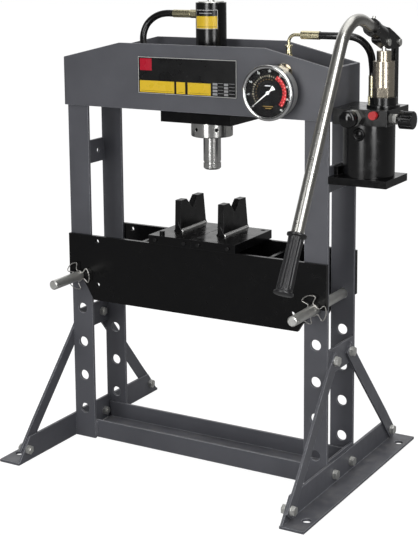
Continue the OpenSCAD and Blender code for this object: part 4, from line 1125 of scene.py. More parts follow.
def skin(rows: int, steps: int, hoop: bool = False) -> Array:
    """Faces between neighbouring rings; in a hoop the last ring also meets the first.

    Args:
        rows: Number of rings.
        steps: Points on a ring.
        hoop: Whether the last ring meets the first.

    Returns:
        Corners of each face.
    """
    row = np.arange(rows if hoop else rows - 1)[:, None] * steps
    step = np.arange(steps)[None, :]
    above, after = (row + steps) % (rows * steps), (step + 1) % steps
    return np.stack([row + step, row + after, above + after, above + step], -1).reshape(-1, 4)


def inside_out(points: Array, triangles: Array) -> bool:
    """Whether triangles that close a surface enclose a negative volume."""
    a, b, c = (points[triangles[:, k]] for k in range(3))
    return bool(np.einsum("ij,ij->i", a, np.cross(b, c)).sum() < 0)


def halves(quads: Array) -> Array:
    """Both triangles of each face with four corners."""
    return np.concatenate([quads[:, [0, 1, 2]], quads[:, [0, 2, 3]]])


def loft(name: str, rings: Array) -> bpy.types.Object:
    """Skins a stack of closed rings and closes both ends with a fan.

    A point of the skin is ring i at step j. The UV map holds the share of the way
    round and the length along the stack. Faces are turned to enclose a positive volume.

    Args:
        name: Name of the object.
        rings: Points, as rings by steps by three.

    Returns:
        The new mesh object.
    """
    rows, steps = rings.shape[:2]
    quads = skin(rows, steps)
    points = np.concatenate([rings.reshape(-1, 3), rings[0].mean(0)[None], rings[-1].mean(0)[None]])
    first, last = rows * steps, rows * steps + 1
    ring = np.arange(steps)
    ring_after = (ring + 1) % steps
    start = np.stack([np.full(steps, first), ring_after, ring], -1)
    end = np.stack([np.full(steps, last), ring + (rows - 1) * steps, ring_after + (rows - 1) * steps], -1)
    fans = np.concatenate([start, end])
    length = np.concatenate([[0.0], np.cumsum(lengths(rings.mean(1)))])
    near, far = length[:-1, None], length[1:, None]
    share = np.broadcast_to(ring / steps, (rows - 1, steps))
    u = np.stack([share, share + 1 / steps, share + 1 / steps, share], -1).reshape(-1, 4)
    v = np.stack(np.broadcast_arrays(near + 0 * share, near, far, far), -1).reshape(-1, 4)
    if inside_out(points, np.concatenate([halves(quads), fans])):
        quads, fans, u, v = quads[:, ::-1], fans[:, ::-1], u[:, ::-1], v[:, ::-1]
    made = stand(name, points, quads.tolist() + fans.tolist(), LOFT_SHARP)
    uv = np.concatenate([np.stack([u, v], -1).reshape(-1, 2), np.zeros((fans.size, 2))])
    made.data.uv_layers.new(name="UVMap").data.foreach_set("uv", uv.astype(np.float32).ravel())
    return made


def lengths(path: Array) -> Array:
    """Lengths between the neighbouring points of a path."""
    return np.linalg.norm(np.diff(path, axis=0), axis=1)


def curve_through(points: Array, per_span: int) -> Array:
    """A Catmull-Rom curve: on each span a cubic through its ends, with slopes from the neighbours.

    Args:
        points: Points that the curve passes through.
        per_span: Steps between two points.

    Returns:
        The points of the curve.
    """
    padded = np.concatenate([2 * points[:1] - points[1:2], points, 2 * points[-1:] - points[-2:-1]])
    p0, p1, p2, p3 = (padded[k : len(points) - 1 + k, None] for k in range(4))
    t = np.linspace(0.0, 1.0, per_span, endpoint=False)[None, :, None]
    cubic = 0.5 * (
        2 * p1 + (p2 - p0) * t + (2 * p0 - 5 * p1 + 4 * p2 - p3) * t**2 + (3 * p1 - p0 - 3 * p2 + p3) * t**3
    )
    return np.concatenate([cubic.reshape(-1, 3), points[-1:]])


def tube(path: Array, radii: float | Array, steps: int, side: tuple[float, float, float]) -> Array:
    """Rings round a path: each is its point plus the radius times a circle square to the path.

    Args:
        path: Points of the middle line.
        radii: One radius, or a radius for each point and step.
        steps: Points on a ring.
        side: A direction that the path never runs along, from which the rings start.

    Returns:
        The rings, as rings by steps by three.
    """
    along = np.gradient(path, axis=0)
    along /= np.linalg.norm(along, axis=1, keepdims=True)
    out = np.asarray(side) - along * (along @ np.asarray(side))[:, None]
    out /= np.linalg.norm(out, axis=1, keepdims=True)
    over = np.cross(along, out)
    turn = np.linspace(0.0, math.tau, steps, endpoint=False)
    circle = out[:, None] * np.cos(turn)[None, :, None] + over[:, None] * np.sin(turn)[None, :, None]
    return path[:, None] + circle * np.asarray(radii)[..., None]


def around_y(middle: tuple[float, float], profile: Array, steps: int) -> Array:
    """Carries a profile of radius and Y round a line along Y.

    Args:
        middle: X and Z of the line.
        profile: Rows of radius and Y in metres.
        steps: Points on a ring.

    Returns:
        A ring for each row of the profile, as rings by steps by three.
    """
    turn = np.linspace(0.0, math.tau, steps, endpoint=False)
    radius, depth = profile[:, 0, None], profile[:, 1, None]
    x = middle[0] + radius * np.cos(turn)
    z = middle[1] + radius * np.sin(turn)
    return np.stack([x, np.broadcast_to(depth, x.shape), z], -1)


def turned_y(name: str, box: tuple, *profile: Array) -> bpy.types.Object:
    """Turns a profile about the line along Y through a box's middle, and closes its ends.

    Args:
        name: Name of the object.
        box: Lowest and highest corner of the box.
        *profile: Rows of radius and Y in metres, in parts.

    Returns:
        The new mesh object.
    """
    low, high = box
    middle = ((low[0] + high[0]) / 2, (low[2] + high[2]) / 2)
    return loft(name, around_y(middle, np.concatenate(profile), TURNED_STEPS))


def hoop_y(name: str, middle: tuple[float, float], *profile: Array) -> bpy.types.Object:
    """Turns a closed profile about a line along Y, as one closed hoop.

    Args:
        name: Name of the object.
        middle: X and Z of the line.
        *profile: Rows of radius and Y in metres, in parts, in order round the section.

    Returns:
        The new mesh object.
    """
    rings = around_y(middle, np.concatenate(profile), HOOP_STEPS)
    points, quads = rings.reshape(-1, 3), skin(*rings.shape[:2], hoop=True)
    if inside_out(points, halves(quads)):
        quads = quads[:, ::-1]
    return stand(name, points, quads.tolist(), HOOP_SHARP)


def plate_y(name: str, outline: Array, front: float, back: float) -> bpy.types.Object:
    """Stands a flat outline of X and Z, which runs anticlockwise from the front, between two Y planes.

    Args:
        name: Name of the object.
        outline: Rows of X and Z in metres.
        front: Y of the front face.
        back: Y of the back face.

    Returns:
        The new mesh object.
    """
    count = len(outline)
    x, z = outline[:, 0], outline[:, 1]
    points = np.concatenate([np.stack([x, np.full(count, y), z], -1) for y in (front, back)])
    step = np.arange(count)
    after = (step + 1) % count
    sides = np.stack([step, step + count, after + count, after], -1)
    return stand(name, points, [step.tolist(), (step[::-1] + count).tolist(), *sides.tolist()])


@dataclass(frozen=True)
class Weld:
    """A fillet bead in a corner, with the ripples of its pool."""

    start: tuple[float, float, float]
    end: tuple[float, float, float]
    first: tuple[float, float, float]
    second: tuple[float, float, float]
    leg: float
    pitch: float = 0.0024
    ripple: float = 0.09
    steps: int = 9
    per_ripple: int = 5
    fewest: int = 12
    least_end: float = 0.02
    throat: float = 0.82
    sunk: float = 0.04

    def rings(self) -> Array:
        """Quarter rounds from one face to the other, swollen by a rippled sine and closed round at the ends.

        Returns:
            The rings, as rings by steps by three.
        """
        begin, finish = np.asarray(self.start), np.asarray(self.end)
        length = float(np.linalg.norm(finish - begin))
        count = max(self.fewest, int(length / self.pitch * self.per_ripple))
        share = np.linspace(0.0, 1.0, count)
        from_end = np.minimum(share, 1.0 - share) * length
        near = np.minimum(from_end / self.leg, 1.0)
        rounding = np.sqrt(np.clip(1.0 - (1.0 - near) ** 2, self.least_end, 1.0))
        wave = 1.0 + self.ripple * np.abs(np.sin(share * length / self.pitch * math.pi))
        size = self.leg * rounding * wave
        turn = np.linspace(0.0, math.pi / 2, self.steps)
        first, second = np.asarray(self.first), np.asarray(self.second)
        arc = np.cos(turn)[:, None] * first + np.sin(turn)[:, None] * second
        flatter = self.throat + (1.0 - self.throat) * np.abs(np.cos(2 * turn))[:, None]
        profile = np.concatenate([arc * flatter, -self.sunk * (first + second)[None]])
        middle = begin + share[:, None] * (finish - begin)
        return middle[:, None] + size[:, None, None] * profile[None]


# ---------------------------------------------------------------------------
# Bench and sub-assemblies
# ---------------------------------------------------------------------------


@dataclass
class Bench:
    """The loaded frame, the materials by slot, and the calls that dress and add pieces."""

    frame: dict
    effects: Effects = field(default_factory=Effects)
    materials: dict[Slot, bpy.types.Material] = field(default_factory=dict)

    def __post_init__(self) -> None:
        """Builds the material of each finish."""
        for finish in FINISHES:
            self.materials[finish.slot] = finish.material(self.effects)

    def dress(self, slot: Slot, *nodes: str) -> None:
        """Gives solids of the frame a finish.

        Args:
            slot: The finish.
            *nodes: Names of the solids.
        """
        for name in nodes:
            solid = self.frame["nodes"][name]
            solid.data.materials.clear()
            solid.data.materials.append(self.materials[slot])
            LOG.info("dressed %s in %s", name, slot.value)

    def add(self, piece: bpy.types.Object, slot: Slot, body: str, *stands_for: str) -> bpy.types.Object:
        """Dresses a new piece and puts it on its body.

        Args:
            piece: The new piece, in place.
            slot: Its finish.
            body: The body that it moves with.
            *stands_for: Solids that it replaces.

        Returns:
            The piece.
        """
        if not piece.data.materials:
            piece.data.materials.append(self.materials[slot])
        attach(piece, body)
        if stands_for:
            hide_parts(*stands_for)
        LOG.info("added %s in %s on %s", piece.name, slot.value, body)
        return piece


class SubAssembly(ABC):
    """A part of the press that dresses its solids and adds its pieces."""

    @abstractmethod
    def build(self, bench: Bench) -> None:
        """Builds and dresses the sub-assembly.

        Args:
            bench: The bench with the frame and the materials.
        """

    @staticmethod
    def beads(bench: Bench, name: str, slot: Slot, welds: tuple[Weld, ...]) -> None:
        """Adds weld beads on the fixed frame, numbered from one."""
        for number, weld in enumerate(welds, start=1):
            bench.add(loft(f"{name}_{number}", weld.rings()), slot, "frame")


@dataclass
class Framework(SubAssembly):
    """Uprights, ties, rails, feet and braces with their bolts."""

    rail_end: float = 0.250
    rail_face: float = 0.059
    rail_low: float = 0.003
    rail_high: float = 0.041
    weld_leg: float = 0.004

    def rail_welds(self) -> tuple[Weld, ...]:
        """Upright beads where each rail passes its upright, at the front and at the back.

        Returns:
            Four welds.
        """
        return tuple(
            Weld(
                (side * self.rail_end, face * self.rail_face, self.rail_low),
                (side * self.rail_end, face * self.rail_face, self.rail_high),
                (-side * 1.0, 0.0, 0.0),
                (0.0, face * 1.0, 0.0),
                leg=self.weld_leg,
            )
            for side in (-1, 1)
            for face in (-1, 1)
        )

    def build(self, bench: Bench) -> None:
        """Paints the steelwork, plates its fasteners and welds the rails.

        Args:
            bench: The bench with the frame and the materials.
        """
        bench.dress(
            Slot.FRAME_PAINT,
            "upright_front_left", "upright_front_right", "upright_rear_left", "upright_rear_right",
            "upper_tie_plates", "brace_tie_plates", "lower_tie_plates",
            "floor_rails", "foot_left", "foot_right", "braces",
        )
        bench.dress(Slot.ZINC_STEEL, "frame_bolts", "frame_nuts")
        self.beads(bench, "rail_weld", Slot.FRAME_PAINT, self.rail_welds())


@dataclass
class PressHead(SubAssembly):
    """Folded head plates, the plate that carries the cylinder, and the printed plate."""

    return_face: float = 0.3029
    rear_face: float = 0.0537
    weld_low: float = 0.760
    weld_high: float = 0.826
    weld_leg: float = 0.005

    def end_welds(self) -> tuple[Weld, ...]:
        """Beads inside both ends, where the rear plate meets the folded returns.

        Returns:
            Two welds.
        """
        return tuple(
            Weld(
                (side * self.return_face, self.rear_face, self.weld_low),
                (side * self.return_face, self.rear_face, self.weld_high),
                (-side * 1.0, 0.0, 0.0),
                (0.0, -1.0, 0.0),
                leg=self.weld_leg,
            )
            for side in (-1, 1)
        )

    def build(self, bench: Bench) -> None:
        """Paints the head and lays the printed film on its plate.

        Args:
            bench: The bench with the frame and the materials.
        """
        bench.dress(Slot.FRAME_PAINT, "head_front_plate", "head_rear_plate")
        bench.dress(Slot.BLACK_PAINT, "cylinder_support_plate")
        bench.dress(Slot.PLATE_FILM, "rating_plate")
        self.beads(bench, "head_weld", Slot.FRAME_PAINT, self.end_welds())


@dataclass
class Bed(SubAssembly):
    """Adjustable bed, its pins and clips, and the press plates with their V blocks."""

    plate_top: float = 0.4723
    block_half: float = 0.007
    block_front: float = -0.019
    block_back: float = 0.083
    weld_leg: float = 0.0052
    weld_ripple: float = 0.05
    block_middles: tuple[float, float] = (-0.061, 0.040)

    def block_welds(self) -> tuple[Weld, ...]:
        """Long beads at the foot of both V blocks, one on each side.

        Returns:
            Four welds.
        """
        return tuple(
            Weld(
                (middle + side * self.block_half, self.block_front, self.plate_top),
                (middle + side * self.block_half, self.block_back, self.plate_top),
                (side * 1.0, 0.0, 0.0),
                (0.0, 0.0, 1.0),
                leg=self.weld_leg,
                ripple=self.weld_ripple,
            )
            for middle in self.block_middles
            for side in (-1, 1)
        )

    def build(self, bench: Bench) -> None:
        """Paints the bed black, plates its pins and welds the V blocks.

        Args:
            bench: The bench with the frame and the materials.
        """
        bench.dress(
            Slot.BLACK_PAINT,
            "bed_front_plate", "bed_rear_plate", "bed_cross_plates",
            "press_plate_left", "press_plate_right",
        )
        bench.dress(Slot.CAST_BLACK, "v_block_left", "v_block_right")
        bench.dress(Slot.ZINC_STEEL, "bed_pins")
        bench.dress(Slot.SPRING_STEEL, "pin_clips")
        bench.dress(Slot.KNOB_PLASTIC, "plate_screws")
        self.beads(bench, "block_weld", Slot.TURNED_STEEL, self.block_welds())


@dataclass
class Cylinder(SubAssembly):
    """Black cylinder with its wrapped label, the ring nut, the ram and its spring."""

    axis_x: float = 0.011
    label_inner: float = 0.03104
    label_outer: float = 0.03126
    label_low: float = 0.8936
    label_high: float = 0.9314
    label_half_arc: float = 0.026
    label_middle: float = math.radians(6.8)
    steps: int = 40
    spring_wire: float = 0.0034
    spring_turns: int = 12
    spring_steps: int = 24
    wire_steps: int = 12
    stroke: float = 0.13

    def label(self) -> bpy.types.Object:
        """A thin curved strip: a rectangle of wall and height carried round the barrel's axis.

        Returns:
            The label piece with its own printed film.
        """
        half = self.label_half_arc / self.label_outer
        turn = self.label_middle + np.linspace(-half, half, self.steps)
        radius = np.array([self.label_inner, self.label_outer, self.label_outer, self.label_inner])
        height = np.array([self.label_low, self.label_low, self.label_high, self.label_high])
        x = self.axis_x + radius[None] * np.sin(turn)[:, None]
        y = -radius[None] * np.cos(turn)[:, None]
        rings = np.stack([x, y, np.broadcast_to(height[None], x.shape)], -1)
        return loft("barrel_label", rings)

    def label_film(self, bench: Bench) -> bpy.types.Material:
        """The label's film, with its boxes shifted to the label's middle.

        Args:
            bench: The bench with the shared node groups.

        Returns:
            The label's own material.
        """
        shift = self.label_middle * self.label_outer / MM
        boxes = tuple(
            PrintedBox(b.left + shift, b.right + shift, b.low, b.high, b.colour) for b in label_boxes()
        )
        film = PrintedFilm(Slot.PLATE_FILM, boxes, wrap_x=self.axis_x, wrap_radius=self.label_outer)
        made = film.material(bench.effects)
        made.name = "barrel_label_film"
        return made

    def spring(self) -> bpy.types.Object:
        """The return spring: a helix whose angle and height both grow evenly along the wire.

        Returns:
            The coil, with flat ends square to the wire.
        """
        low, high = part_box("return_spring")
        wire = self.spring_wire
        radius = (high[1] - low[1] - wire) / 2
        share = np.linspace(0.0, 1.0, self.spring_turns * self.spring_steps + 1)
        turn = math.tau * self.spring_turns * share
        rise = low[2] + wire / 2 + share * (high[2] - low[2] - wire)
        path = np.stack([self.axis_x + radius * np.cos(turn), radius * np.sin(turn), rise], -1)
        rings = tube(path, wire / 2, self.wire_steps, (0.0, 0.0, 1.0))
        return loft("coiled_return_spring", rings)

    def build(self, bench: Bench) -> None:
        """Enamels the barrel, turns the bright pieces, winds the spring and wraps the label.

        Args:
            bench: The bench with the frame and the materials.
        """
        bench.dress(Slot.PUMP_ENAMEL, "cylinder_barrel")
        bench.dress(Slot.ZINC_STEEL, "cylinder_cap")
        bench.dress(Slot.TURNED_STEEL, "ring_nut", "ram")
        coil = bench.add(self.spring(), Slot.SPRING_STEEL, "frame", "return_spring")
        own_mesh(coil)
        label = self.label()
        label.data.materials.append(self.label_film(bench))
        bench.add(label, Slot.PLATE_FILM, "frame")


@dataclass
class Gauge(SubAssembly):
    """Pressure gauge: case, bezel, glass, printed dial with numerals, needle and movement."""

    face_y: float = -0.1030
    lift: float = 0.0002
    numeral_radius: float = 0.0414
    numeral_size: float = 0.0054
    numeral_depth: float = 0.00008
    lip_width: float = 0.0070
    lip_depth: float = 0.0014
    roll: float = 0.0030
    chamfer: float = 0.0004
    skirt_gap: float = 0.0001
    pointer: tuple[float, float] = (0.0370, 0.0002)
    waist: tuple[float, float] = (-0.0075, 0.0011)
    boss: float = 0.0034
    boss_open: float = math.radians(20.0)
    tail: float = 0.0172
    fan: float = math.radians(16.0)
    needle_thick: float = 0.0008
    numeral_count: int = 9
    numeral_step: int = 5
    numeral_smoothness: int = 3
    roll_steps: int = 15
    boss_steps: int = 12
    fan_steps: int = 7

    def numeral(self, text: str) -> tuple[Array, list[list[int]]]:
        """The mesh of one number, lying flat about its own middle.

        Args:
            text: The number.

        Returns:
            Its points and faces.
        """
        curve = bpy.data.curves.new("numeral", "FONT")
        curve.body = text
        curve.size = self.numeral_size
        curve.align_x = "CENTER"
        curve.align_y = "CENTER"
        curve.extrude = self.numeral_depth
        curve.resolution_u = self.numeral_smoothness
        holder = bpy.data.objects.new("numeral", curve)
        bpy.context.scene.collection.objects.link(holder)
        bpy.context.view_layer.update()
        mesh = bpy.data.meshes.new_from_object(holder.evaluated_get(bpy.context.evaluated_depsgraph_get()))
        points = np.empty(len(mesh.vertices) * 3)
        mesh.vertices.foreach_get("co", points)
        faces = [list(face.vertices) for face in mesh.polygons]
        bpy.data.objects.remove(holder)
        bpy.data.meshes.remove(mesh)
        return points.reshape(-1, 3), faces

    def numerals(self) -> bpy.types.Object:
        """Plain numbers round the dial, evenly spaced over the sweep and stood upright.

        Returns:
            One piece with every number.
        """
        points, faces, used = [], [], 0
        for index in range(self.numeral_count):
            flat, polygons = self.numeral(str(index * self.numeral_step))
            angle = DIAL_START - DIAL_SPAN * index / (self.numeral_count - 1)
            x = GAUGE_CENTRE[0] + self.numeral_radius * math.cos(angle) + flat[:, 0]
            z = GAUGE_CENTRE[1] + self.numeral_radius * math.sin(angle) + flat[:, 1]
            y = self.face_y - self.lift - flat[:, 2]
            points.append(np.stack([x, y, z], -1))
            faces += [[corner + used for corner in polygon] for polygon in polygons]
            used += len(flat)
        return stand("dial_numerals", np.concatenate(points), faces)

    def bezel(self) -> bpy.types.Object:
        """The rolled bezel: a half ellipse in front, a lip over the glass and a skirt round the case.

        Returns:
            The bezel as a closed hoop.
        """
        low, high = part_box("gauge_bezel")
        case_low, case_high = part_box("gauge_case")
        outer, skirt = (high[0] - low[0]) / 2, (case_high[0] - case_low[0]) / 2 + self.skirt_gap
        inner = outer - self.lip_width
        turn = np.linspace(0.0, math.pi, self.roll_steps)
        half = (outer - inner) / 2
        roll = np.stack([inner + half + half * np.cos(turn), low[1] + self.roll * (1.0 - np.sin(turn))], -1)
        rest = np.array([
            [inner, low[1] + self.lip_depth], [skirt, low[1] + self.lip_depth], [skirt, high[1]],
            [outer - self.chamfer, high[1]], [outer, high[1] - self.chamfer],
        ])
        return hoop_y("rolled_bezel", GAUGE_CENTRE, roll, rest)

    def needle(self) -> bpy.types.Object:
        """The needle: a thin pointer, a round boss, and a tail that widens like a fan.

        Returns:
            The needle as a flat plate behind the glass.
        """
        low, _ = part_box("gauge_needle")
        turn = np.linspace(self.boss_open, math.pi - self.boss_open, self.boss_steps)
        boss = self.boss * np.stack([np.cos(turn), np.sin(turn)], -1)
        spread = np.linspace(self.fan, -self.fan, self.fan_steps)
        tail = -self.tail * np.stack([np.cos(spread), -np.sin(spread)], -1)
        upper = np.concatenate([np.array([self.pointer]), boss, np.array([self.waist])])
        lower = upper[::-1] * np.array([1.0, -1.0])
        flat = np.concatenate([upper, tail, lower])
        way = np.array([math.cos(DIAL_START), math.sin(DIAL_START)])
        side = np.array([-way[1], way[0]])
        outline = flat[:, :1] * way + flat[:, 1:] * side + np.array(GAUGE_CENTRE)
        return plate_y("fan_tailed_needle", outline, low[1], low[1] + self.needle_thick)

    def build(self, bench: Bench) -> None:
        """Plates the case, rolls the bezel, prints the dial and sets its numbers and needle.

        Args:
            bench: The bench with the frame and the materials.
        """
        bench.dress(Slot.ZINC_STEEL, "gauge_case")
        bench.dress(Slot.NICKEL, "gauge_manifold")
        bezel = bench.add(self.bezel(), Slot.TURNED_STEEL, "frame", "gauge_bezel")
        bezel.data.materials[0] = bench.materials[Slot.CHROME]
        bench.add(self.needle(), Slot.NEEDLE_WHITE, "needle", "gauge_needle")
        bench.dress(Slot.YELLOW_ZINC, "gauge_movement")
        bench.dress(Slot.DIAL_BLACK, "gauge_dial")
        bench.dress(Slot.CLEAR_GLASS, "gauge_glass")
        bench.add(self.numerals(), Slot.NEEDLE_WHITE, "frame")


@dataclass
class HandPump(SubAssembly):
    """Tank, head block, barrel, plunger, link and the valves of the hand pump."""

    seat: float = 0.003
    plug_rim: float = 0.0028
    dish_step: float = 0.001
    dish_depths: tuple[float, float] = (0.0024, 0.0018)
    cap_round: float = 0.0080
    cap_crown: float = 0.0022
    cap_chamfer: float = 0.001
    flat_share: float = 0.4
    flat_rise: float = 0.2
    pole: float = 0.001
    rim_steps: int = 13
    bend_steps: int = 9

    def plug(self) -> bpy.types.Object:
        """The tank's plug: a rounded rim round a dished middle, turned about Y.

        Returns:
            The plug as a closed body.
        """
        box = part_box("tank_plug")
        radius, front = (box[1][0] - box[0][0]) / 2, box[0][1]
        turn = np.linspace(0.0, math.pi, self.rim_steps)
        rim = self.plug_rim
        arc = np.stack([radius - rim + rim * np.cos(turn), front + rim - rim * np.sin(turn)], -1)
        rise, middle = self.dish_depths
        dish = np.array([[radius - 2 * rim - self.dish_step, front + rise], [self.pole, front + middle]])
        back = np.array([[radius, front + rim + self.seat]])
        return turned_y("domed_tank_plug", box, back, arc, dish)

    def cap(self) -> bpy.types.Object:
        """The relief valve's cap: a drum with a rounded front edge and a slight crown, turned about Y.

        Returns:
            The cap as a closed body.
        """
        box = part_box("relief_cap")
        radius, front, back = (box[1][0] - box[0][0]) / 2, box[0][1], box[1][1]
        turn = np.linspace(0.0, math.pi / 2, self.bend_steps)
        bend, crown, edge = self.cap_round, self.cap_crown, self.cap_chamfer
        rear = np.array([[radius - edge, back], [radius, back - edge]])
        arc = np.stack(
            [radius - bend + bend * np.cos(turn), front + crown + bend - bend * np.sin(turn)], -1
        )
        middle = np.array([
            [radius * self.flat_share, front + self.flat_rise * crown], [self.pole, front],
        ])
        return turned_y("rounded_relief_cap", box, rear, arc, middle)

    def build(self, bench: Bench) -> None:
        """Enamels the pump, plates its barrel and fittings, and turns the plug and the cap.

        Args:
            bench: The bench with the frame and the materials.
        """
        bench.dress(Slot.PUMP_ENAMEL, "pump_tank", "pump_head", "pump_collar")
        bench.dress(Slot.BLACK_PAINT, "pump_plate")
        bench.dress(Slot.NICKEL, "pump_barrel")
        bench.dress(Slot.TURNED_STEEL, "pump_plunger")
        bench.dress(Slot.CAST_BLACK, "pump_link")
        bench.dress(Slot.ZINC_STEEL, "valve_nuts")
        bench.dress(Slot.KNOB_PLASTIC, "release_knob")
        bench.dress(Slot.RED_PLASTIC, "filler_plug")
        bench.add(self.plug(), Slot.BLACK_PAINT, "frame", "tank_plug")
        bench.add(self.cap(), Slot.KNOB_PLASTIC, "frame", "relief_cap")


@dataclass
class PumpLever(SubAssembly):
    """Cast socket, bent tube and moulded grip of the pump lever."""

    length: float = 0.106
    flange_radius: float = 0.0170
    body_radius: float = 0.0142
    waist: float = 0.0012
    flange_length: float = 0.0042
    flange_round: float = 0.0012
    neck_length: float = 0.0018
    waist_place: float = 0.35
    flutes: int = 12
    flute_depth: float = 0.0013
    flute_gap: float = 0.003
    flute_fade: float = 0.006
    steps: int = 144
    rows: int = 140

    def grip(self) -> bpy.types.Object:
        """The moulded grip, as a body of turning.

        Its radius is the flange near both ends, and between them the body less a waist
        that fades with the square of a cosine. Lengthwise flutes cut the square of a
        raised cosine of the turn, and fade out towards the flanges.

        Returns:
            The grip piece.
        """
        low, high = (np.array(corner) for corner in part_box("lever_grip"))
        way = np.array([0.0, math.cos(LEVER_DIRECTION), math.sin(LEVER_DIRECTION)])
        along = np.linspace(0.0, self.length, self.rows)
        path = (low + high) / 2 + (along - self.length / 2)[:, None] * way
        from_end = np.minimum(along, self.length - along)
        around = np.cos((along / self.length - self.waist_place) * math.pi)
        body = self.body_radius - self.waist * around**2
        neck = np.clip((from_end - self.flange_length) / self.neck_length, 0.0, 1.0)
        blend = neck**2 * (3 - 2 * neck)
        near = np.clip(from_end / self.flange_round, 0.0, 1.0)
        lip = np.sqrt(np.clip(1 - (1 - near) ** 2, 0.0, 1.0))
        flange = self.flange_radius - self.flange_round * (1 - lip)
        radius = flange * (1 - blend) + body * blend
        turn = np.linspace(0.0, math.tau, self.steps, endpoint=False)
        cut = self.flute_depth * (0.5 + 0.5 * np.cos(self.flutes * turn)) ** 2
        fade = np.clip((from_end - self.flange_length - self.flute_gap) / self.flute_fade, 0.0, 1.0)
        rings = tube(path, radius[:, None] - fade[:, None] * cut[None], self.steps, (1.0, 0.0, 0.0))
        return loft("moulded_grip", rings)

    def build(self, bench: Bench) -> None:
        """Paints the socket, draws the tube's grain and moulds the grip.

        Args:
            bench: The bench with the frame and the materials.
        """
        bench.dress(Slot.CAST_BLACK, "lever_socket")
        bench.dress(Slot.LEVER_STEEL, "lever_tube")
        bench.dress(Slot.ZINC_STEEL, "lever_pins")
        bench.add(self.grip(), Slot.GRIP_RUBBER, "lever", "lever_grip")


@dataclass
class Hoses(SubAssembly):
    """Two high-pressure hoses, their crimped ends and the bent feed pipe."""

    diameter: float = 0.014
    steps: int = 28
    per_span: int = 10
    cylinder_route: Array = field(
        default_factory=lambda: MM * np.array([
            [150, -42, 812], [120, -42, 812], [90, -42, 812], [60, -42, 812], [30, -43, 812],
            [0, -43, 812], [-30, -43, 812], [-60, -42, 812], [-82, -41, 814], [-103, -37, 820],
            [-120, -31, 831], [-133, -23, 846], [-142, -14, 863], [-145, -7, 880], [-140, -2, 897],
            [-127, 0, 910], [-110, 0, 918], [-93, 0, 921], [-76, 0, 921],
        ], float)
    )
    pump_route: Array = field(
        default_factory=lambda: MM * np.array([
            [270, -42, 889], [289, -42, 889], [306, -41, 889], [321.5, -37, 889], [334.2, -31, 886.8],
            [344, -24, 881.5], [351, -15.5, 872.6], [354.8, -7, 862], [355.6, 1.5, 850.5],
            [354.3, 9, 839], [352.8, 15, 829], [351.8, 19, 821], [351.5, 20, 816], [351.5, 20, 811],
        ], float)
    )

    def hose(self, bench: Bench, name: str, node: str, route: Array) -> None:
        """Args:
            bench: The bench that it is added to.
            name: Name of the piece.
            node: The solid that it replaces.
            route: Points of the route in metres.
        """
        path = curve_through(route, self.per_span)
        rings = tube(path, self.diameter / 2, self.steps, (0.0, 1.0, 0.0))
        piece = bench.add(loft(name, rings), Slot.HOSE_RUBBER, "frame", node)

    def build(self, bench: Bench) -> None:
        """Plates the ends and runs both hoses.

        Args:
            bench: The bench with the frame and the materials.
        """
        bench.dress(Slot.YELLOW_ZINC, "cylinder_hose_ends", "pump_hose_ends", "feed_pipe")
        self.hose(bench, "cylinder_hose_run", "cylinder_hose", self.cylinder_route)
        self.hose(bench, "pump_hose_run", "pump_hose", self.pump_route)


# ---------------------------------------------------------------------------
# Studio
# ---------------------------------------------------------------------------


@dataclass(frozen=True)
class Lamp:
    """A rectangular lamp, and which surfaces it reaches."""

    name: str
    place: tuple[float, float, float]
    size: tuple[float, float]
    radiance: float
    gloss: bool = True
    diffuse: bool = True


def beside(turn: float, distance: float) -> tuple[float, float, float]:
    """A place at lamp height.

    Args:
        turn: Degrees from the front towards the right.
        distance: Metres from the middle of the press.

    Returns:
        The place in metres.
    """
    way = math.radians(turn)
    return distance * math.sin(way), -distance * math.cos(way), LAMP_HEIGHT


LAMPS = (
    Lamp("left_soft_box", beside(-2.0, 2.8), (0.85, 2.2), 4.1, gloss=False),
    Lamp("right_soft_box", beside(66.0, 2.8), (0.65, 2.2), 3.3, gloss=False),
    Lamp("left_strip", beside(-2.0, 2.6), (0.85, 2.1), 7.0, diffuse=False),
    Lamp("right_strip", beside(52.7, 1.32), (0.42, 1.9), 6.5, diffuse=False),
    Lamp("overhead_soft_box", (0.2, 0.5, 2.9), (2.4, 2.0), 1.6),
)


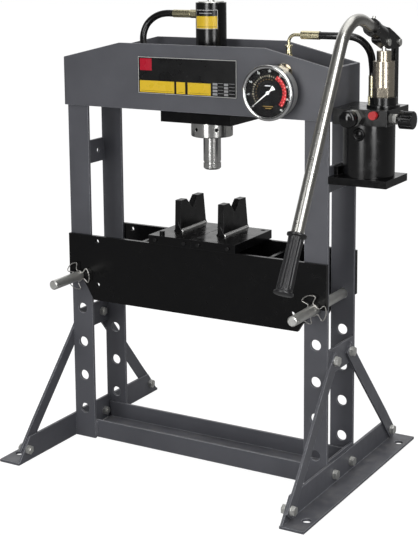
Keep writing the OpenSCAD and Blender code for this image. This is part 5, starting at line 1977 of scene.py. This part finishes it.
@dataclass
class Studio:
    """Pale floor, white surroundings, soft lamps and the camera."""

    azimuth: float = math.radians(31.98)
    tilt: float = math.radians(9.714)
    roll: float = math.radians(-0.871)
    camera_place: tuple[float, float, float] = (1.36889, -2.39171, 1.09482)
    lens: float = 91.78
    shift: tuple[float, float] = (0.0989, -0.1996)
    sensor: float = 36.0
    clip_end: float = 60.0
    floor_half: float = 14.0
    floor_drop: float = 0.0004
    floor_mottle: float = 0.015
    white_rise: float = 0.25
    white_from_to: tuple[float, float] = (0.66, 0.94)
    room_light: float = 0.5
    front_gloss: float = 0.10
    floor_albedo: float = 0.36
    floor_glow: float = 1.86
    glow_share: float = 0.5
    lamp_target: tuple[float, float, float] = (0.05, 0.0, 0.55)

    def camera(self) -> None:
        """Places the camera: three axes from the azimuth, the tilt and the roll."""
        a, e, r = self.azimuth, self.tilt, self.roll
        ahead = Vector((-math.sin(a) * math.cos(e), math.cos(a) * math.cos(e), -math.sin(e)))
        right = Vector((math.cos(a), math.sin(a), 0.0))
        up = right.cross(ahead)
        turned_right = math.cos(r) * right + math.sin(r) * up
        turned_up = -math.sin(r) * right + math.cos(r) * up
        data = bpy.data.cameras.new("studio_camera")
        data.lens = self.lens
        data.sensor_width = self.sensor
        data.shift_x, data.shift_y = self.shift
        data.clip_end = self.clip_end
        holder = bpy.data.objects.new("studio_camera", data)
        axes = Matrix((turned_right, turned_up, -ahead)).transposed().to_4x4()
        holder.matrix_world = Matrix.Translation(self.camera_place) @ axes
        bpy.context.scene.collection.objects.link(holder)
        bpy.context.scene.camera = holder

    def lamp(self, lamp: Lamp) -> None:
        """Adds a lamp and aims it at the press; its power is the radiance times the area and pi.

        Args:
            lamp: The lamp.
        """
        data = bpy.data.lights.new(lamp.name, "AREA")
        data.shape = "RECTANGLE"
        data.size, data.size_y = lamp.size
        data.energy = lamp.radiance * lamp.size[0] * lamp.size[1] * math.pi
        holder = bpy.data.objects.new(lamp.name, data)
        holder.location = lamp.place
        aim = Vector(self.lamp_target) - Vector(lamp.place)
        holder.rotation_euler = aim.to_track_quat("-Z", "Y").to_euler()
        holder.visible_camera = False
        holder.visible_glossy = lamp.gloss
        holder.visible_diffuse = lamp.diffuse
        bpy.context.scene.collection.objects.link(holder)

    def world(self) -> None:
        """White to the camera and through glass; to gloss white behind the press, dim before it."""
        world = bpy.data.worlds.new("studio")
        bpy.context.scene.world = world
        graph = fresh(world)
        way = graph.add("ShaderNodeTexCoord").outputs["Generated"]
        behind = (-math.sin(self.azimuth), math.cos(self.azimuth), self.white_rise)
        gloss = graph.ramp(graph.dot(way, behind), *self.white_from_to, self.front_gloss, 1.0)
        ray = graph.add("ShaderNodeLightPath").outputs
        seen = graph.math("MAXIMUM", ray["Is Camera Ray"], ray["Is Transmission Ray"])
        unseen = graph.minus(1.0, seen)
        glossy = graph.times(ray["Is Glossy Ray"], unseen)
        other = graph.minus(unseen, glossy)
        mirrored = graph.plus(seen, graph.times(glossy, gloss))
        strength = graph.plus(mirrored, graph.times(other, self.room_light))
        back = graph.add("ShaderNodeBackground")
        graph.fill(back, {"Color": WHITE, "Strength": strength})
        graph.feed(graph.add("ShaderNodeOutputWorld").inputs["Surface"], back.outputs[0])

    def floor(self) -> None:
        """A wide pale sheet that keeps the shadow and fades to white for the camera."""
        half, low = self.floor_half, -self.floor_drop
        corners = np.array([(-half, -half, low), (half, -half, low), (half, half, low), (-half, half, low)])
        sheet = stand("studio_floor", corners, [(0, 1, 2, 3)])
        made = bpy.data.materials.new("studio_floor")
        graph = fresh(made)
        diffuse = graph.add("ShaderNodeBsdfDiffuse")
        speck = graph.noise(graph.place(), 6.0)
        dark, light = ((self.floor_albedo + part,) * 3 for part in (-self.floor_mottle, self.floor_mottle))
        graph.feed(diffuse.inputs["Color"], graph.mix(speck, dark, light))
        glow = graph.add("ShaderNodeEmission")
        graph.feed(glow.inputs["Strength"], self.floor_glow)
        blend = graph.add("ShaderNodeMixShader")
        ray = graph.add("ShaderNodeLightPath").outputs["Is Camera Ray"]
        share = graph.times(ray, self.glow_share)
        graph.fill(blend, {0: share, 1: diffuse.outputs[0], 2: glow.outputs[0]})
        graph.feed(graph.add("ShaderNodeOutputMaterial").inputs["Surface"], blend.outputs[0])
        sheet.data.materials.append(made)

    def build(self) -> None:
        """Sets up the whole studio."""
        bpy.context.scene.view_settings.view_transform = "Standard"
        self.camera()
        for lamp in LAMPS:
            self.lamp(lamp)
        self.world()
        self.floor()
        LOG.info("studio ready")


def main() -> None:
    """Loads the frame, builds every sub-assembly in order, and sets up the studio."""
    logging.basicConfig(level=logging.INFO, format="%(name)s: %(message)s")
    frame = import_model()
    bench = Bench(frame)
    for part in (
        Hoses(), Framework(), PressHead(), Bed(), Cylinder(), Gauge(), HandPump(), PumpLever(),
    ):
        part.build(bench)
        LOG.info("built %s", type(part).__name__)
    Studio().build()


if __name__ == "__main__":
    main()
